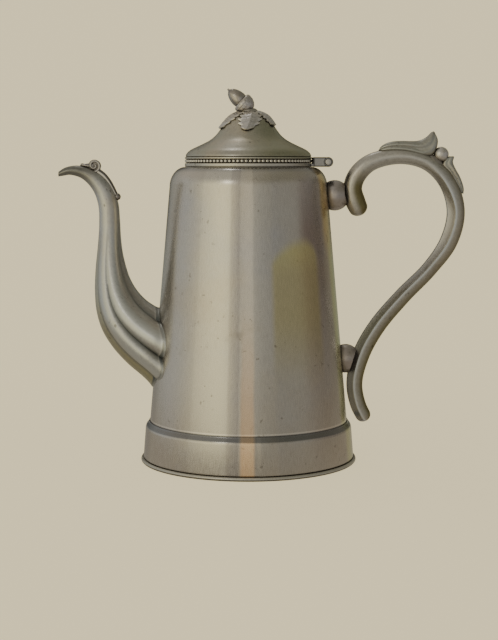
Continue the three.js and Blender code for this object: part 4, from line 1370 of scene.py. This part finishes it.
# A darker copy of the silver, painted shade, for the acorn's nut, the spout's scroll and its strap.
acorn_silver = silver("acorn_silver", clean=(0.31, 0.29, 0.275, 1), toning=0.4, rough=(0.18, 0.3),
                      reach=0.003, wear=0.3, stretch=(4, 4, 4), cloud=60.0)
cup_silver = silver("cup_silver", clean=(0.58, 0.54, 0.50, 1), toning=0.4, reach=0.003, dirt=0.8,
                    wear=0.4, stretch=(4, 4, 4), cloud=60.0)
handle_leaf_silver = silver("handle_leaf_silver", clean=(0.40, 0.40, 0.35, 1), toning=0.4, wear=0.6,
                            stretch=(2, 4, 2), cloud=50.0)
# A much darker copy of the silver, painted shade, for the hinge, its pin and the finial's stud and nut.
hinge_silver = silver("hinge_silver", clean=(0.215, 0.21, 0.19, 1), stretch=(2, 12, 2), toning=0.35,
                      reach=0.002, dirt=1.2, wear=0.0, recess=(0.05, 0.045, 0.04, 1))
inner_silver = silver("inner_silver", clean=(0.40, 0.36, 0.29, 1), warm=(0.27, 0.18, 0.09, 1), toning=0.9,
                      rough=(0.45, 0.62), stretch=(1, 1, 8), reach=0.012, dirt=0.8)
under_silver = silver("under_silver", clean=(0.44, 0.40, 0.34, 1), toning=0.8, rough=(0.4, 0.6),
                      stretch=(2, 2, 2), hammer=(45.0, 0.6), reach=0.006)

# ---------------------------------------------------------------- pieces: maker, finish, body, CAD node, slot
PIECES = [
    (make_body_wall, body_silver, "pot", "body_shell", "satin_silver"),
    (make_mouth_rim, rim_silver, "pot", "mouth_collar", "satin_silver"),
    (make_floor_plate, under_silver, "pot", "bottom_plate", "inner_silver"),
    (make_foot_ring, rim_silver, "pot", "foot_wire", "satin_silver"),
    (make_foot_band, body_silver, "pot", "base_band", "satin_silver"),
    (lambda: make_spout_half("spout_front", 180), spout_silver, "pot", "spout_front_half", "cast_silver"),
    (lambda: make_spout_half("spout_back", 0), spout_silver, "pot", "spout_back_half", "cast_silver"),
    (make_spout_volute, acorn_silver, "pot", "spout_scroll", "ornament_silver"),
    (make_spout_ridge, acorn_silver, "pot", "spout_strap", "ornament_silver"),
    (lambda: make_handle_half("handle_front", -1), handle_silver, "pot", "handle_front_half", "cast_silver"),
    (lambda: make_handle_half("handle_back", 1), handle_silver, "pot", "handle_back_half", "cast_silver"),
    (lambda: make_ball("ball_upper", (61.6, 0, 191.4), 10.9, 0.0, 0.22), ball_silver, "pot",
     "upper_ball_boss", "cast_silver"),
    (lambda: make_ball("ball_lower", (70.2, 0, 73.8), 10.4, 0.72, 0.9), ball_silver, "pot",
     "lower_ball_boss", "cast_silver"),
    (make_thumb_leaf, handle_leaf_silver, "pot", "thumb_leaf", "ornament_silver"),
    (make_small_leaf, handle_leaf_silver, "pot", "handle_leaf", "ornament_silver"),
    (make_handle_pearl, leaf_silver, "pot", "handle_bead", "ornament_silver"),
    (make_hinge_lugs, hinge_silver, "pot", "hinge_body_leaf", "hinge_silver"),
    (make_hinge_pin, hinge_silver, "pot", "hinge_pin", "hinge_silver"),
    (make_lid_arm, hinge_silver, "lid", "hinge_lid_leaf", "hinge_silver"),
    (make_lid_shell, lid_silver, "lid", "lid_dome", "satin_silver"),
    (make_lid_beads, bead_silver, "lid", "lid_bead_band", "ornament_silver"),
    (make_lid_sleeve, inner_silver, "lid", "lid_inner_flange", "inner_silver"),
    (make_oak_leaves, leaf_silver, "lid", "oak_leaf_mount", "ornament_silver"),
    (make_acorn_cap, cup_silver, "lid", "acorn_cup", "ornament_silver"),
    (make_acorn_kernel, acorn_silver, "lid", "acorn_nut", "ornament_silver"),
    (make_stud, hinge_silver, "lid", "finial_stud", "hinge_silver"),
    (make_nut, hinge_silver, "lid", "finial_nut", "hinge_silver"),
]

for maker, finish, body, node, slot in PIECES:
    piece = maker()
    piece.data.materials.append(finish)
    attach(piece, body)
    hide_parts(node)

# ---------------------------------------------------------------- stage, light and camera
PAPER = (1.04, 0.90, 0.545, 1)  # the plain backdrop's light, as bright as paper under a soft lamp
LIT_FLOOR = (0.36, 0.32, 0.23, 1)
FLOOR_IN_SILVER = (0.36, 0.33, 0.27, 1)  # the floor near the pot as the silver reflects it
FLOOR_RINGS = (300, 800, 2000, 5000)


def make_floor():
    """A plain pale floor: lit near the pot, and fading into the even backdrop further out."""
    facets = 96
    points = [p for reach in FLOOR_RINGS for p in circle(reach, -0.05, facets)]
    faces = [list(range(facets)), *band_faces(len(FLOOR_RINGS), facets)]
    floor = new_piece("floor", points, faces)
    material = bpy.data.materials.new("pale_floor")
    material.use_nodes = True
    nodes = material.node_tree
    nodes.nodes.clear()
    t = Tree(nodes)
    position = t.node("ShaderNodeTexCoord").outputs["Object"]
    distance = t.length(position)
    near = t.node("ShaderNodeAddShader")
    t.put(near.inputs[0], t.node("ShaderNodeBsdfDiffuse", Color=LIT_FLOOR).outputs[0])
    t.put(near.inputs[1], t.node("ShaderNodeEmission", Color=PAPER, Strength=0.85).outputs[0])
    paper = t.node("ShaderNodeEmission", Color=PAPER).outputs[0]
    seen = t.shader_mix(t.remap(distance, 0.16, 0.55), near.outputs[0], paper)
    walls = t.group(STUDIO_WALLS, Direction=position)["Color"]
    reflected = t.mix(t.remap(distance, 0.2, 0.9), FLOOR_IN_SILVER, walls)
    dim = t.node("ShaderNodeEmission", Color=reflected).outputs[0]
    straight = t.node("ShaderNodeLightPath").outputs["Is Camera Ray"]
    out = t.node("ShaderNodeOutputMaterial")
    t.put(out.inputs["Surface"], t.shader_mix(straight, dim, seen))
    floor.data.materials.append(material)


# Brightness and tint of the studio walls by compass, as a share of a turn from the back (+Y) towards -X.
STUDIO = [
    (0.000, (0.20, 0.20, 0.17)), (0.078, (0.30, 0.31, 0.28)), (0.128, (0.42, 0.42, 0.39)),
    (0.194, (0.50, 0.52, 0.50)), (0.244, (0.55, 0.56, 0.52)), (0.286, (0.69, 0.67, 0.55)),
    (0.325, (0.98, 0.93, 0.69)), (0.380, (1.25, 1.18, 0.82)), (0.428, (1.30, 1.22, 0.84)),
    (0.447, (0.68, 0.64, 0.54)), (0.463, (0.54, 0.52, 0.46)), (0.494, (0.84, 0.80, 0.66)),
    (0.525, (0.54, 0.53, 0.48)), (0.545, (0.47, 0.47, 0.44)), (0.608, (0.37, 0.37, 0.35)),
    (0.678, (0.36, 0.36, 0.34)), (0.717, (0.32, 0.31, 0.29)), (0.761, (0.25, 0.235, 0.215)),
    (0.811, (0.235, 0.22, 0.20)), (0.861, (0.26, 0.245, 0.20)), (0.889, (0.27, 0.26, 0.20)),
    (0.936, (0.28, 0.29, 0.22)), (1.000, (0.20, 0.20, 0.17)),
]
CEILING_LEFT = (0.46, 0.44, 0.38, 1)
CEILING_RIGHT = (0.24, 0.235, 0.19, 1)
BLACK_CARD = (0.04, 0.036, 0.03, 1)  # a dark card straight behind the pot draws a thin dark edge round it


def make_studio_group():
    """The studio walls' light in a direction."""
    group, start, end = new_group("studio_walls", [("Direction", "Vector", None)], [("Color", "Color")])
    t = Tree(group)
    x, y, _ = t.axes(start.outputs["Direction"])
    back_to_left = t.math("ARCTAN2", t.times(x, -1.0), y)
    compass = t.math("FRACT", t.math("DIVIDE", back_to_left, 2 * math.pi))
    t.put(end.inputs["Color"], t.ramp(compass, STUDIO))
    return group


STUDIO_WALLS = make_studio_group()


def make_world():
    """The studio room that the silver reflects. Looked at straight, it is plain paper."""
    world = bpy.data.worlds.new("studio")
    scene.world = world
    world.use_nodes = True
    nodes = world.node_tree
    nodes.nodes.clear()
    t = Tree(nodes)
    way = t.node("ShaderNodeTexCoord").outputs["Generated"]
    x, y, z = t.axes(way)
    walls = t.group(STUDIO_WALLS, Direction=way)["Color"]
    ceiling = t.mix(t.remap(x, -0.3, 0.6), CEILING_LEFT, CEILING_RIGHT)
    room = t.mix(t.remap(z, 0.2, 0.6), walls, ceiling)
    room = t.mix(t.remap(y, 0.87, 0.955), room, BLACK_CARD)
    light = t.node("ShaderNodeBackground", Color=room).outputs[0]
    paper = t.node("ShaderNodeBackground", Color=PAPER).outputs[0]
    straight = t.node("ShaderNodeLightPath").outputs["Is Camera Ray"]
    out = t.node("ShaderNodeOutputWorld")
    t.put(out.inputs["Surface"], t.shader_mix(straight, light, paper))


LAMP_AIM = Vector((0, 0, 0.12))  # the middle of the pot


def add_lamp(name, place, size, power, colour):
    """A square soft box that points at the middle of the pot."""
    data = bpy.data.lights.new(name, "AREA")
    data.size = size
    data.energy = power
    data.color = colour
    lamp = bpy.data.objects.new(name, data)
    lamp.location = place
    lamp.rotation_euler = (LAMP_AIM - Vector(place)).to_track_quat("-Z", "Y").to_euler()
    scene.collection.objects.link(lamp)


CAMERA_PLACE = (0.0004, -1.021, 0.2144)
CAMERA_DIP = 6.3  # degrees that it looks down by


def make_camera():
    """A long lens in front of the pot and a little above it, looking along +Y."""
    data = bpy.data.cameras.new("camera")
    data.lens = 80
    data.sensor_width = 36
    data.clip_start = 0.05
    camera = bpy.data.objects.new("camera", data)
    camera.location = CAMERA_PLACE
    camera.rotation_euler = (math.radians(90 - CAMERA_DIP), 0, 0)
    scene.collection.objects.link(camera)
    scene.camera = camera


make_floor()
make_world()
add_lamp("key_soft_box", (-0.9, -1.5, 1.0), 0.3, 1.0, (1.0, 0.97, 0.92))
add_lamp("lid_light", (-0.25, 0.80, 1.70), 0.09, 0.75, (1.0, 0.98, 0.94))
make_camera()
